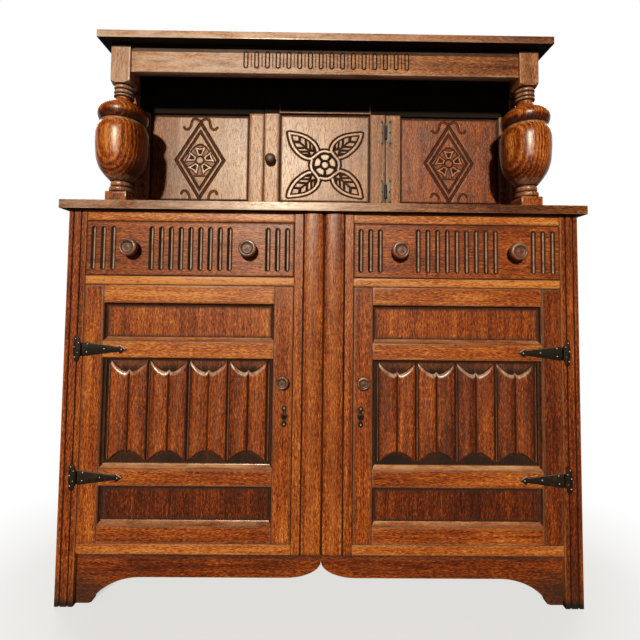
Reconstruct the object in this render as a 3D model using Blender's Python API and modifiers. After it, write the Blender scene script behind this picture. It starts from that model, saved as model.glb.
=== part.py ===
# Oak sideboard: fluted drawers over linenfold doors, and an upper cupboard under a canopy on columns.
# Metres, +Z up, front towards -Y, floor at Z = 0, centred in X and Y.
import math

import bmesh
import bpy
from mathutils import Matrix

# Overall sizes
base_width = 1.22
base_depth = 0.42
total_height = 1.343
main_top_height = 0.9376

# Boards that overhang the front stiles and the posts
canopy_overhang = 0.025
canopy_side_overhang = 0.024
canopy_thickness = 0.0177
main_top_overhang = 0.0155
main_top_side_overhang = 0.015
main_top_thickness = 0.0208

# Base frame
stile_width = 0.0435
stile_depth = 0.045
stile_groove_offsets = (0.012, 0.0305)
stile_groove_half = 0.0016
stile_groove_depth = 0.0025
centre_half = 0.0705
pilaster_depth = 0.0095
pilaster_strip = 0.0205
pilaster_reed_width = 0.0485
pilaster_reed_rise = 0.004
pilaster_groove_depth = 0.006
pilaster_foot_drop = 0.0035
reed_fullness = 0.5
rail_depth = 0.03
rail_setback = 0.0015
top_rail_height = 0.0253
drawer_opening = 0.132
drawer_rail_height = 0.02
base_rail_height = 0.0235
base_rail_low = 0.1165

# Apron with its shaped lower edge
apron_setback = 0.01
apron_thickness = 0.018
apron_arch_height = 0.0585
apron_foot = 0.0357
apron_sweep = 0.1115
apron_sweep_power = 0.65
apron_cusp_rise = 0.038
apron_cusp_half = 0.083

# Boards of the carcass
board_thickness = 0.018
side_inset = 0.003
side_panel_margin = 0.055
side_panel_depth = 0.006
back_thickness = 0.012
back_low = 0.06
floor_thickness = 0.015
divider_half = 0.012

# Drawers
drawer_front_thickness = 0.02
drawer_side_thickness = 0.01
drawer_side_drop = 0.014
drawer_bottom_thickness = 0.007
drawer_bottom_lift = 0.005
drawer_back_clearance = 0.058
flute_half = 0.00565
flute_depth = 0.004
flute_length = 0.105
flute_pitch = 0.02325
flute_end_margin = 0.0162
flutes_in_middle = 9
flutes_at_end = 3
drawer_knob_inset = 0.108
drawer_knob_radius = 0.021
drawer_knob_length = 0.026

# Doors
door_thickness = 0.022
door_stile = 0.045
door_top_rail = 0.0435
door_middle_rail = 0.0385
door_bottom_rail = 0.041
door_plain_panel_height = 0.0905
panel_recess = 0.01
panel_thickness = 0.008
panel_moulding = 0.007
panel_sill = 0.009
linen_units = 4
linen_side_margin = 0.005
linen_end_margin = 0.012
linen_rise = 0.007
linen_backing = 0.006
linen_groove_lift = 0.001
linen_fullness = 0.6
door_knob_rise = 0.0748
door_knob_inset = 0.0225
door_knob_radius = 0.0155
door_knob_length = 0.021
keyhole_drop = 0.0058
keyhole_inset = 0.018
keyhole_half_width = 0.0018
keyhole_half_height = 0.0045
keyhole_plate_thickness = 0.0016
keyhole_plate_neck = 0.004
keyhole_lobe_spacing = 0.018
keyhole_lobe_radius = 0.008

# Iron strap hinges of the doors
strap_length = 0.1035
strap_root_half = 0.0145
strap_neck_half = 0.0035
strap_head_half = 0.0065
strap_head_length = 0.018
strap_head_barb = 0.0045
strap_thickness = 0.0025
hinge_plate_width = 0.0185
hinge_plate_half = 0.0315
hinge_plate_waist = 0.017
knuckle_radius = 0.004
knuckle_offset = 0.0035

# Columns
column_inset = 0.112
column_setback = 0.019
post_size = 0.047
post_height = 0.1003
plinth_size = 0.051
plinth_height = 0.0234
neck_bead_count = 3
neck_bead_height = 0.0105
neck_bead_radius = 0.0231
neck_radius = 0.0194
neck_height = 0.0112
cover_radius = 0.0615
cover_rise = 0.034
cover_fall = 0.0238
lip_radius = 0.0532
lip_groove_radius = 0.0503
lip_groove_height = 0.004
cup_radius = 0.0628
cup_rise = 0.0365
foot_radius = 0.0203
foot_bead_count = 2
foot_bead_height = 0.0145
foot_bead_radius = 0.0235
foot_bead_growth = 0.0028
turning_tail = 0.005

# Frieze
frieze_setback = 0.0055
frieze_thickness = 0.02
frieze_height = 0.0676
frieze_groove_count = 16
frieze_groove_pitch = 0.02625
frieze_groove_half = 0.006
frieze_groove_length = 0.043
frieze_groove_depth = 0.002

# Upper cupboard
recess_depth = 0.108
upper_frame_thickness = 0.02
upper_bottom_rail = 0.0319
upper_top_rail = 0.1173
upper_muntin = 0.0385
upper_door_half = 0.1645
upper_door_head = 0.0733
upper_door_lift = 0.003
upper_door_thickness = 0.02
upper_door_stile = 0.0405
upper_door_top_rail = 0.0385
upper_door_bottom_rail = 0.0289
upper_panel_recess = 0.008
upper_moulding = 0.004
lozenge_half_width = 0.0672
lozenge_half_height = 0.108
lozenge_band = 0.0115
lozenge_drop = 0.006
rose_radius = 0.0395
rose_band = 0.003
rose_drop = 0.0165
carving_depth = 0.002
upper_knob_inset = 0.0181
upper_knob_drop = 0.013
upper_knob_radius = 0.0145
upper_knob_length = 0.018
leaf_half_height = 0.031
leaf_waist = 0.0185
leaf_width = 0.0125
leaf_thickness = 0.0016
leaf_top_share = 0.7095
leaf_low_share = 0.1895
upper_knuckle_radius = 0.0032

# Clearances and eased edges
seam = 0.0004
running_gap = 0.0013
cut_reach = 0.001
ease = 0.0012
board_ease = 0.003

# Fineness of the curves
lathe_steps = 24
knob_steps = 16
flute_steps = 12
arc_steps = 5
fold_steps = 6
edge_steps = 9
rose_steps = 20

# Places that follow from the sizes
half = base_width / 2
front_reach = cup_radius - column_setback
front = front_reach - (base_depth + front_reach) / 2
back = front + base_depth
back_face = back - back_thickness
inside_back = back_face - seam
inner_half = half - stile_width
main_top_under = main_top_height - main_top_thickness
canopy_under = total_height - canopy_thickness
upper_edge = canopy_under - seam
drawer_top = main_top_under - top_rail_height
drawer_low = drawer_top - drawer_opening
door_top = drawer_low - drawer_rail_height
door_low = base_rail_low + base_rail_height
door_middle = (door_low + door_top) / 2
door_centre = (centre_half + inner_half) / 2
door_half = (inner_half - centre_half) / 2 - running_gap
latch_edge = centre_half + running_gap
side_outer = half - side_inset
side_inner = side_outer - board_thickness
recess_front = front + recess_depth
column_x = half - column_inset
column_y = front + column_setback
post_outer = column_x + post_size / 2
post_inner = column_x - post_size / 2
post_back = column_y + post_size / 2 + seam
end_outer = post_outer - ease
end_inner = end_outer - board_thickness
frieze_low = canopy_under - frieze_height
upper_opening = upper_door_half + running_gap
muntin_outer = upper_opening + upper_muntin
upper_door_low = main_top_height + upper_door_lift
upper_door_top = canopy_under - upper_door_head
upper_door_middle = (upper_door_low + upper_door_top) / 2
upper_panel_low = main_top_height + upper_bottom_rail
upper_panel_top = canopy_under - upper_top_rail
hinge_x = inner_half + knuckle_offset
hinge_y = front - seam - knuckle_radius
upper_hinge_x = upper_door_half + running_gap / 2
upper_hinge_y = recess_front - seam - upper_knuckle_radius

# Door windows from the top down; the linenfold window takes the height that is left
top_panel_high = door_top - door_top_rail
top_panel_low = top_panel_high - door_plain_panel_height
linen_high = top_panel_low - door_middle_rail
bottom_panel_low = door_low + door_bottom_rail
bottom_panel_high = bottom_panel_low + door_plain_panel_height
linen_low = bottom_panel_high + door_middle_rail

# Colours and roughness, by eye from the photograph
tones = {
    "oak": ((0.21, 0.075, 0.028), 0.42),
    "light_oak": ((0.32, 0.125, 0.045), 0.4),
    "dark_oak": ((0.13, 0.044, 0.018), 0.45),
    "panel_oak": ((0.16, 0.055, 0.021), 0.44),
    "inside_oak": ((0.24, 0.13, 0.065), 0.65),
    "turned_oak": ((0.24, 0.09, 0.026), 0.28),
    "iron": ((0.018, 0.017, 0.017), 0.5),
}

for old in list(bpy.data.objects):
    bpy.data.objects.remove(old, do_unlink=True)

parts = bpy.data.collections.new("sideboard")
cutters = bpy.data.collections.new("cutters")
bpy.context.scene.collection.children.link(parts)
bpy.context.scene.collection.children.link(cutters)


def paint(node, tone):
    colour, roughness = tones[tone]
    material = bpy.data.materials.new(node.name + "_finish")
    material.use_nodes = True
    shader = material.node_tree.nodes["Principled BSDF"]
    shader.inputs["Base Color"].default_value = (*colour, 1)
    shader.inputs["Roughness"].default_value = roughness
    shader.inputs["Metallic"].default_value = 1 if tone == "iron" else 0
    node.data.materials.append(material)


def add_object(name, shape, tone, parent=None, place=(0, 0, 0)):
    # A shape with a tone is a part; one without is a cutter.
    mesh = bpy.data.meshes.new(name)
    shape.to_mesh(mesh)
    shape.free()
    node = bpy.data.objects.new(name, mesh)
    node.parent = parent
    start = parent.location if parent else (0, 0, 0)
    node.location = [a - b for a, b in zip(place, start)]
    if tone:
        parts.objects.link(node)
        paint(node, tone)
    else:
        cutters.objects.link(node)
        node.hide_render = True
        node.display_type = "WIRE"
    return node


def add_axis(name, place):
    axis = bpy.data.objects.new(name, None)
    axis.location = place
    axis.empty_display_size = 0.05
    parts.objects.link(axis)
    return axis


def add_board(name, low, high, tone, parent=None, rounding=0):
    shape = bmesh.new()
    bmesh.ops.create_cube(shape, size=1)
    bmesh.ops.scale(shape, vec=[b - a for a, b in zip(low, high)], verts=shape.verts)
    node = add_object(name, shape, tone, parent, [(a + b) / 2 for a, b in zip(low, high)])
    if rounding:
        bevel = node.modifiers.new("eased_edges", "BEVEL")
        bevel.width = rounding
        bevel.segments = 1
    return node


def add_plate(name, outlines, axis, low, high, tone, parent=None):
    # Extrudes outlines along an axis. Along X they hold (y, z), along Y (x, z) and along Z (x, y).
    curve = bpy.data.curves.new(name, "CURVE")
    curve.dimensions = "2D"
    curve.fill_mode = "BOTH"
    curve.extrude = (high - low) / 2
    for outline in outlines:
        spline = curve.splines.new("POLY")
        spline.points.add(len(outline) - 1)
        spline.use_cyclic_u = True
        for point, (a, b) in zip(spline.points, outline):
            point.co = (a, b, 0, 1)
    drawn = bpy.data.objects.new(name + "_outline", curve)
    parts.objects.link(drawn)
    evaluated = drawn.evaluated_get(bpy.context.evaluated_depsgraph_get())
    mesh = bpy.data.meshes.new_from_object(evaluated)
    shape = bmesh.new()
    shape.from_mesh(mesh)
    bpy.data.objects.remove(drawn, do_unlink=True)
    bpy.data.meshes.remove(mesh)
    bmesh.ops.remove_doubles(shape, verts=shape.verts, dist=0.00001)
    turns = {
        "X": Matrix(((0, 0, 1), (1, 0, 0), (0, 1, 0))),
        "Y": Matrix(((1, 0, 0), (0, 0, -1), (0, 1, 0))),
        "Z": Matrix.Identity(3),
    }
    bmesh.ops.transform(shape, matrix=turns[axis].to_4x4(), verts=shape.verts)
    bmesh.ops.recalc_face_normals(shape, faces=shape.faces)
    middle = [(low + high) / 2 if letter == axis else 0 for letter in "XYZ"]
    return add_object(name, shape, tone, parent, middle)


def add_turning(name, profile, steps, place, tone, parent=None, to_front=False):
    # Turns a profile of (radius, height) points, listed from the top down.
    shape = bmesh.new()
    points = [shape.verts.new((radius, 0, height)) for radius, height in profile]
    for pair in zip(points, points[1:]):
        shape.edges.new(pair)
    node = add_object(name, shape, tone, parent, place)
    node.rotation_euler.x = math.pi / 2 if to_front else 0
    screw = node.modifiers.new("turning", "SCREW")
    screw.steps = steps
    screw.render_steps = steps
    screw.use_merge_vertices = True
    screw.merge_threshold = 0.00001
    screw.use_smooth_shade = True
    return node


def add_row(node, pitch, count):
    row = node.modifiers.new("row", "ARRAY")
    row.use_relative_offset = False
    row.use_constant_offset = True
    row.constant_offset_displace = (pitch, 0, 0)
    row.count = count


def combine(node, tool, operation):
    step = node.modifiers.new(tool.name, "BOOLEAN")
    step.operation = operation
    step.solver = "EXACT"
    step.object = tool


def add_window(name, low, high, face, recess, thickness, moulding, sill):
    # A hole through a frame whose edges slope in from the face to the panel, most at the sill.
    start = face - cut_reach
    end = face + thickness + cut_reach
    panel = face + recess
    growth = (panel - start) / recess
    size = (high[0] - low[0] - 2 * moulding, end - start, high[1] - low[1] - moulding - sill)
    middle = ((low[0] + high[0]) / 2, (start + end) / 2, (low[1] + sill + high[1] - moulding) / 2)
    shape = bmesh.new()
    bmesh.ops.create_cube(shape, size=1)
    bmesh.ops.scale(shape, vec=size, verts=shape.verts)
    whole = shape.verts[:] + shape.edges[:] + shape.faces[:]
    bmesh.ops.bisect_plane(shape, geom=whole, plane_co=(0, panel - middle[1], 0), plane_no=(0, 1, 0))
    for vert in shape.verts:
        if vert.co.y < face - middle[1]:
            vert.co.x += math.copysign(moulding * growth, vert.co.x)
            vert.co.z += moulding * growth if vert.co.z > 0 else -sill * growth
    return add_object(name, shape, None, None, middle)


def arc(start, end, widens):
    # A quarter of an ellipse from one (radius, height) point down to another.
    points = []
    for step in range(1, arc_steps + 1):
        turn = step * math.pi / 2 / arc_steps
        steep = math.sin(turn)
        shallow = 1 - math.cos(turn)
        across, down = (steep, shallow) if widens else (shallow, steep)
        points.append((start[0] + (end[0] - start[0]) * across, start[1] + (end[1] - start[1]) * down))
    return points


def swell(share, fullness):
    return math.sin(share * math.pi) ** fullness if 0 < share < 1 else 0


def knob_profile(radius, length):
    shape = ((0, 0.93), (0.52, 0.93), (0.64, 1), (0.84, 1), (0.98, 0.88), (1, 0.72), (0.78, 0.54),
             (0.36, 0.4), (0.36, 0.14), (0.45, 0), (0, 0))
    return [(r * radius, h * length) for r, h in shape]


def both_sides(points):
    return points + [(-x, other) for x, other in reversed(points)]


def on_side(points, side):
    return [(side * x, other) for x, other in points]


# Main top and canopy
main_top_half = half + main_top_side_overhang
add_board("main_top", (-main_top_half, front - main_top_overhang, main_top_under),
          (main_top_half, inside_back, main_top_height), "oak", None, board_ease)
canopy_half = post_outer + canopy_side_overhang
add_board("canopy_top", (-canopy_half, front - canopy_overhang, canopy_under),
          (canopy_half, back, total_height), "oak", None, board_ease)

# Front stiles with two grooves down each
stile = [(inner_half, front), (inner_half, front + stile_depth), (half, front + stile_depth), (half, front)]
for offset in stile_groove_offsets:
    groove = half - offset
    stile.append((groove + stile_groove_half, front))
    stile.append((groove, front + stile_groove_depth))
    stile.append((groove - stile_groove_half, front))
for side, word in ((-1, "left"), (1, "right")):
    add_plate(word + "_stile", [on_side(stile, side)], "Z", 0, main_top_under - seam, "oak")

# Centre pilaster: strip, reed, groove, reed, strip
reed_edge = centre_half - pilaster_strip
reed_height = pilaster_groove_depth + pilaster_reed_rise
pilaster = [(centre_half, front + pilaster_depth), (centre_half, front), (reed_edge, front)]
for step in range(fold_steps + 1):
    share = step / fold_steps
    depth = pilaster_groove_depth - reed_height * swell(share, reed_fullness)
    pilaster.append((reed_edge - share * pilaster_reed_width, front + depth))
add_plate("centre_pilaster", [both_sides(pilaster)], "Z", base_rail_low - pilaster_foot_drop,
          main_top_under - seam, "oak")

# Rails across the front, housed around the pilaster
rail_end = inner_half - seam
rail_face = front + rail_setback
housing_x = centre_half + seam
housing_y = front + pilaster_depth + seam
rail = [(housing_x, housing_y), (housing_x, rail_face),
        (rail_end, rail_face), (rail_end, front + rail_depth)]
add_plate("top_rail", [both_sides(rail)], "Z", drawer_top, main_top_under - seam, "oak")
add_plate("drawer_rail", [both_sides(rail)], "Z", door_top, drawer_low, "light_oak")
add_plate("base_rail", [both_sides(rail)], "Z", base_rail_low, door_low, "light_oak")

# Apron: a foot at each end, a long flat arch and a cusp in the middle
foot_inner = inner_half - apron_foot
edge = [(rail_end, base_rail_low - seam), (rail_end, 0), (foot_inner, 0)]
for step in range(1, edge_steps + 1):
    share = step / edge_steps
    rise = (1 - (1 - share) ** 2) ** apron_sweep_power
    edge.append((foot_inner - share * apron_sweep, rise * apron_arch_height))
for step in range(edge_steps):
    share = step / edge_steps
    rise = 1 - math.sqrt(1 - share ** 2)
    edge.append((apron_cusp_half * (1 - share), apron_arch_height + rise * apron_cusp_rise))
cusp = [(0, apron_arch_height + apron_cusp_rise)]
outline = edge + cusp + [(-x, z) for x, z in reversed(edge)]
apron_face = front + apron_setback
add_plate("apron", [outline], "Y", apron_face, apron_face + apron_thickness, "dark_oak")

# Sides with two sunk panels each
side_front = front + stile_depth + seam
for side, word in ((-1, "left"), (1, "right")):
    flank = sorted((side * side_outer, side * side_inner))
    node = add_board(word + "_side", (flank[0], side_front, 0),
                     (flank[1], inside_back, main_top_under - seam), "oak")
    skin = sorted((side * (side_outer - side_panel_depth), side * (side_outer + cut_reach)))
    for label, low, high in (("lower", door_low, door_top), ("upper", drawer_low, drawer_top)):
        sunk = add_board(word + "_side_" + label + "_panel", (skin[0], side_front + side_panel_margin, low),
                         (skin[1], inside_back - side_panel_margin, high), None)
        combine(node, sunk, "DIFFERENCE")

# Back, floor, dust board and the divider between the drawers
back_edge = [(side_outer, back_low), (side_outer, main_top_height), (end_outer, main_top_height),
             (end_outer, upper_edge)]
add_plate("back_board", [both_sides(back_edge)], "Y", back_face, back, "inside_oak")
inside_half = side_inner - seam
add_board("floor_board", (-inside_half, side_front, door_low - floor_thickness),
          (inside_half, inside_back, door_low), "inside_oak")
add_board("dust_board", (-inside_half, side_front, drawer_low - floor_thickness),
          (inside_half, inside_back, drawer_low), "inside_oak")
add_board("drawer_divider", (-divider_half, front + rail_depth + seam, drawer_low + seam),
          (divider_half, inside_back, main_top_under - seam), "inside_oak")

# Drawers
drawer_middle = (drawer_low + drawer_top) / 2
drawer_end = inside_back - drawer_back_clearance
front_back = front + drawer_front_thickness
box_start = front_back + seam
box_outer = door_half - running_gap
box_inner = box_outer - drawer_side_thickness
box_back = drawer_end - drawer_side_thickness
box_low = drawer_low + seam
bottom_low = box_low + drawer_bottom_lift
flute_radius = (flute_half ** 2 + flute_depth ** 2) / (2 * flute_depth)
flute_y = front + flute_depth - flute_radius
flute_reach = flute_length / 2 - flute_half
flute = [(0, flute_reach + flute_radius)]
flute += arc(flute[0], (flute_radius, flute_reach), True)
flute += [(radius, -height) for radius, height in reversed(flute)]
middle_reach = (flutes_in_middle - 1) / 2 * flute_pitch
end_far = door_half - flute_end_margin
end_near = end_far - (flutes_at_end - 1) * flute_pitch
flute_rows = (("middle", -middle_reach, flutes_in_middle), ("near", -end_far, flutes_at_end),
              ("far", end_near, flutes_at_end))
for side, word in ((-1, "left"), (1, "right")):
    centre = side * door_centre
    slide = add_axis(word + "_drawer_slide", (centre, front, drawer_middle))
    node = add_board(word + "_drawer_front", (centre - door_half, front, drawer_low + running_gap),
                     (centre + door_half, front_back, drawer_top - running_gap), "panel_oak", slide, ease)
    for label, start, count in flute_rows:
        place = (centre + start, flute_y, drawer_middle)
        cutter = add_turning(word + "_flutes_" + label, flute, flute_steps, place, None)
        add_row(cutter, flute_pitch, count)
        combine(node, cutter, "DIFFERENCE")
    plan = [(box_inner, box_back), (box_inner, box_start), (box_outer, box_start), (box_outer, drawer_end)]
    plan = [(centre + x, y) for x, y in both_sides(plan)]
    add_plate(word + "_drawer_box", [plan], "Z", box_low, drawer_top - drawer_side_drop,
              "inside_oak", slide)
    add_board(word + "_drawer_bottom", (centre - box_inner + seam, box_start, bottom_low),
              (centre + box_inner - seam, box_back - seam, bottom_low + drawer_bottom_thickness),
              "inside_oak", slide)
    knob_offset = door_half - drawer_knob_inset
    for way, end in ((1, "outer"), (-1, "inner")):
        place = (centre + side * way * knob_offset, front - seam, drawer_middle)
        add_turning(word + "_drawer_" + end + "_knob", knob_profile(drawer_knob_radius, drawer_knob_length),
                    knob_steps, place, "dark_oak", slide, True)

# Door pieces that are alike on both sides, in places across the door from its centre
opening = door_half - door_stile
panel_half = opening - panel_moulding - seam
panel_face = front + panel_recess
panel_back = panel_face + panel_thickness
linen_face = panel_back - linen_backing
linen_pitch = 2 * (panel_half - linen_side_margin) / linen_units
linen_width = linen_pitch - seam
linen_start = -(linen_units - 1) / 2 * linen_pitch
folds = [(-linen_width / 2, panel_back - linen_backing / 2)]
for step in range(1, 2 * fold_steps):
    share = step % fold_steps / fold_steps
    rise = linen_groove_lift + linen_rise * swell(share, linen_fullness)
    folds.append((linen_width * (step / (2 * fold_steps) - 0.5), linen_face - rise))
folds.append((linen_width / 2, panel_back - linen_backing / 2))
plate_reach = keyhole_lobe_spacing + keyhole_lobe_radius
lobes = []
for step in range(4 * edge_steps + 1):
    level = plate_reach - 2 * plate_reach * step / (4 * edge_steps)
    nearest = min(abs(level - offset) for offset in (-keyhole_lobe_spacing, 0, keyhole_lobe_spacing))
    lobe = math.sqrt(max(keyhole_lobe_radius ** 2 - nearest ** 2, 0))
    lobes.append((max(lobe, keyhole_plate_neck), level))
strap_start = hinge_x - knuckle_radius - seam
head_start = strap_length - strap_head_length
strap_edge = [(0, strap_root_half), (head_start, strap_neck_half),
              (head_start + strap_head_barb, strap_head_half), (strap_length, 0)]
strap_levels = (("upper", (top_panel_low + linen_high) / 2), ("lower", (linen_low + bottom_panel_high) / 2))
iron_back = front - seam
iron_face = iron_back - strap_thickness
plate_end = hinge_x + hinge_plate_width
windows = (("top", top_panel_low, top_panel_high), ("linenfold", linen_low, linen_high),
           ("bottom", bottom_panel_low, bottom_panel_high))

# Doors
for side, word in ((-1, "left"), (1, "right")):
    centre = side * door_centre
    hinge = add_axis(word + "_door_hinge", (side * hinge_x, hinge_y, door_middle))
    frame = add_board(word + "_door_frame", (centre - door_half, front, door_low + running_gap),
                      (centre + door_half, front + door_thickness, door_top - running_gap), "light_oak",
                      hinge, ease)
    for label, low, high in windows:
        hole = add_window(word + "_" + label + "_window", (centre - opening, low), (centre + opening, high),
                          front, panel_recess, door_thickness, panel_moulding, panel_sill)
        combine(frame, hole, "DIFFERENCE")
        linenfold = label == "linenfold"
        field_low = low + panel_sill + seam
        field_high = high - panel_moulding - seam
        panel = add_board(word + "_door_" + label + "_panel",
                          (centre - panel_half, linen_face if linenfold else panel_face, field_low),
                          (centre + panel_half, panel_back, field_high), "panel_oak", hinge)
        if linenfold:
            section = [(centre + linen_start + x, y) for x, y in folds]
            cloth = add_plate(word + "_folds", [section], "Z", field_low + linen_end_margin,
                              field_high - linen_end_margin, None)
            add_row(cloth, linen_pitch, linen_units)
            combine(panel, cloth, "UNION")
    place = (side * (latch_edge + door_knob_inset), front - seam, door_middle + door_knob_rise)
    add_turning(word + "_door_knob", knob_profile(door_knob_radius, door_knob_length), knob_steps, place,
                "dark_oak", hinge, True)

    # Keyhole plate of three lobes
    plate_x = side * (latch_edge + keyhole_inset)
    keyhole_z = door_middle - keyhole_drop
    outline = [(plate_x + x, keyhole_z + z) for x, z in both_sides(lobes)]
    plate = add_plate(word + "_door_keyhole_plate", [outline], "Y", iron_back - keyhole_plate_thickness,
                      iron_back, "iron", hinge)
    slot_low = (plate_x - keyhole_half_width, front - door_thickness, keyhole_z - keyhole_half_height)
    slot_high = (plate_x + keyhole_half_width, front + door_thickness, keyhole_z + keyhole_half_height)
    slot = add_board(word + "_keyhole", slot_low, slot_high, None)
    combine(plate, slot, "DIFFERENCE")

    # Tapered straps on the door, and plates with the knuckle on the stile
    for label, level in strap_levels:
        outline = [(strap_start - along, level + up) for along, up in strap_edge]
        outline += [(strap_start - along, level - up) for along, up in reversed(strap_edge[:-1])]
        add_plate(word + "_" + label + "_strap", [on_side(outline, side)], "Y", iron_face, iron_back,
                  "iron", hinge)
        outline = [(hinge_x, level + hinge_plate_waist), (plate_end, level + hinge_plate_half),
                   (plate_end, level - hinge_plate_half), (hinge_x, level - hinge_plate_waist)]
        plate = add_plate(word + "_" + label + "_hinge_plate", [on_side(outline, side)], "Y", iron_face,
                          iron_back, "iron")
        rod = [(0, strap_root_half), (knuckle_radius, strap_root_half), (knuckle_radius, -strap_root_half),
               (0, -strap_root_half)]
        knuckle = add_turning(word + "_" + label + "_knuckle", rod, knob_steps,
                              (side * hinge_x, hinge_y, level), None)
        combine(plate, knuckle, "UNION")

# Columns: neck beads, a cover, a cup and foot beads, between a post block and a plinth
turned_top = canopy_under - post_height
turned_low = main_top_height + plinth_height
tail_top = turned_top + turning_tail
profile = [(0, tail_top), (neck_radius, tail_top), (neck_radius, turned_top)]
level = turned_top
for bead in range(neck_bead_count):
    profile.append((neck_bead_radius, level - neck_bead_height / 2))
    level -= neck_bead_height
    profile.append((neck_radius, level))
level -= neck_height
profile.append((neck_radius, level))
profile += arc(profile[-1], (cover_radius, level - cover_rise), True)
level -= cover_rise
profile += arc(profile[-1], (lip_radius, level - cover_fall), False)
level -= cover_fall + lip_groove_height / 2
profile.append((lip_groove_radius, level))
level -= lip_groove_height / 2
profile.append((lip_radius, level))
profile += arc(profile[-1], (cup_radius, level - cup_rise), True)
foot_top = turned_low + foot_bead_count * foot_bead_height
profile += arc(profile[-1], (foot_radius, foot_top), False)
for bead in range(foot_bead_count):
    level = foot_top - bead * foot_bead_height
    profile.append((foot_bead_radius + bead * foot_bead_growth, level - foot_bead_height / 2))
    profile.append((foot_radius + bead * foot_bead_growth, level - foot_bead_height))
profile.append((profile[-1][0], turned_low - turning_tail))
profile.append((0, turned_low - turning_tail))
for side, word in ((-1, "left"), (1, "right")):
    place = (side * column_x, column_y, 0)
    node = add_turning(word + "_column", profile, lathe_steps, place, "turned_oak")
    blocks = (("post", post_size / 2, turned_top, upper_edge),
              ("plinth", plinth_size / 2, main_top_height + seam, turned_low))
    for label, reach, low, high in blocks:
        block = add_board(word + "_" + label, (place[0] - reach, column_y - reach, low),
                          (place[0] + reach, column_y + reach, high), None, None, ease)
        combine(node, block, "UNION")

# Frieze rail with a row of round-ended grooves
frieze_face = column_y - post_size / 2 + frieze_setback
frieze = add_board("frieze_rail", (-post_inner + seam, frieze_face, frieze_low),
                   (post_inner - seam, frieze_face + frieze_thickness, upper_edge), "oak")
first_groove = -(frieze_groove_count - 1) / 2 * frieze_groove_pitch
groove_reach = frieze_groove_length / 2 - frieze_groove_half
groove_level = frieze_low + frieze_height / 2
outline = []
for end in (1, -1):
    for step in range(arc_steps + 1):
        turn = step * math.pi / arc_steps
        across = frieze_groove_half * math.cos(turn)
        rise = groove_reach + frieze_groove_half * math.sin(turn)
        outline.append((first_groove + end * across, groove_level + end * rise))
grooves = add_plate("frieze_grooves", [outline], "Y", frieze_face - cut_reach,
                    frieze_face + frieze_groove_depth, None)
add_row(grooves, frieze_groove_pitch, frieze_groove_count)
combine(frieze, grooves, "DIFFERENCE")

# Upper ends, each with an arm forward to its post
frame_low = main_top_height + seam
end_edge = [(recess_front, frame_low), (inside_back, frame_low), (inside_back, upper_edge),
            (post_back, upper_edge), (post_back, frieze_low), (recess_front, frieze_low)]
for side, word in ((-1, "left"), (1, "right")):
    flank = sorted((side * end_outer, side * end_inner))
    add_plate(word + "_end", [end_edge], "X", flank[0], flank[1], "oak")

# Front frame of the upper cupboard, open below for the door, and its two carved panels
frame_half = end_inner - seam
door_head = upper_door_top + running_gap
frame_edge = [(frame_half, upper_edge), (frame_half, frame_low), (upper_opening, frame_low),
              (upper_opening, door_head)]
upper_frame = add_plate("upper_frame", [both_sides(frame_edge)], "Y", recess_front,
                        recess_front + upper_frame_thickness, "oak")
carved_face = recess_front + upper_panel_recess
carved_back = carved_face + panel_thickness
margin = upper_moulding + seam
inner_share = 1 - lozenge_band / lozenge_half_width
diamond = ((lozenge_half_width, 0), (0, lozenge_half_height),
           (-lozenge_half_width, 0), (0, -lozenge_half_height))
for side, word in ((-1, "left"), (1, "right")):
    span = sorted((side * muntin_outer, side * post_inner))
    hole = add_window(word + "_lozenge_window", (span[0], upper_panel_low), (span[1], upper_panel_top),
                      recess_front, upper_panel_recess, upper_frame_thickness, upper_moulding,
                      upper_moulding)
    combine(upper_frame, hole, "DIFFERENCE")
    panel = add_board(word + "_lozenge_panel", (span[0] + margin, carved_face, upper_panel_low + margin),
                      (span[1] - margin, carved_back, upper_panel_top - margin), "panel_oak")
    centre = (span[0] + span[1]) / 2
    level = (upper_panel_low + upper_panel_top) / 2 - lozenge_drop
    rings = [[(centre + share * x, level + share * z) for x, z in diamond] for share in (1, inner_share)]
    lozenge = add_plate(word + "_lozenge", rings, "Y", carved_face - cut_reach,
                        carved_face + carving_depth, None)
    combine(panel, lozenge, "DIFFERENCE")

# Upper door, hinged on its right
hinge = add_axis("upper_door_hinge", (upper_hinge_x, upper_hinge_y, upper_door_middle))
frame = add_board("upper_door_frame", (-upper_door_half, recess_front, upper_door_low),
                  (upper_door_half, recess_front + upper_door_thickness, upper_door_top), "oak",
                  hinge, ease)
reach = upper_door_half - upper_door_stile
field_low = upper_door_low + upper_door_bottom_rail
field_high = upper_door_top - upper_door_top_rail
hole = add_window("upper_door_window", (-reach, field_low), (reach, field_high), recess_front,
                  upper_panel_recess, upper_door_thickness, upper_moulding, upper_moulding)
combine(frame, hole, "DIFFERENCE")
panel = add_board("upper_door_panel", (-reach + margin, carved_face, field_low + margin),
                  (reach - margin, carved_back, field_high - margin), "panel_oak", hinge)
level = (field_low + field_high) / 2 - rose_drop
rings = []
for radius in (rose_radius, rose_radius - rose_band):
    turns = [step * math.tau / rose_steps for step in range(rose_steps)]
    rings.append([(radius * math.cos(turn), level + radius * math.sin(turn)) for turn in turns])
rose = add_plate("rose", rings, "Y", carved_face - cut_reach, carved_face + carving_depth, None)
combine(panel, rose, "DIFFERENCE")
place = (upper_knob_inset - upper_door_half, recess_front - seam, upper_door_middle - upper_knob_drop)
add_turning("upper_door_knob", knob_profile(upper_knob_radius, upper_knob_length), knob_steps, place,
            "dark_oak", hinge, True)

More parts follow.
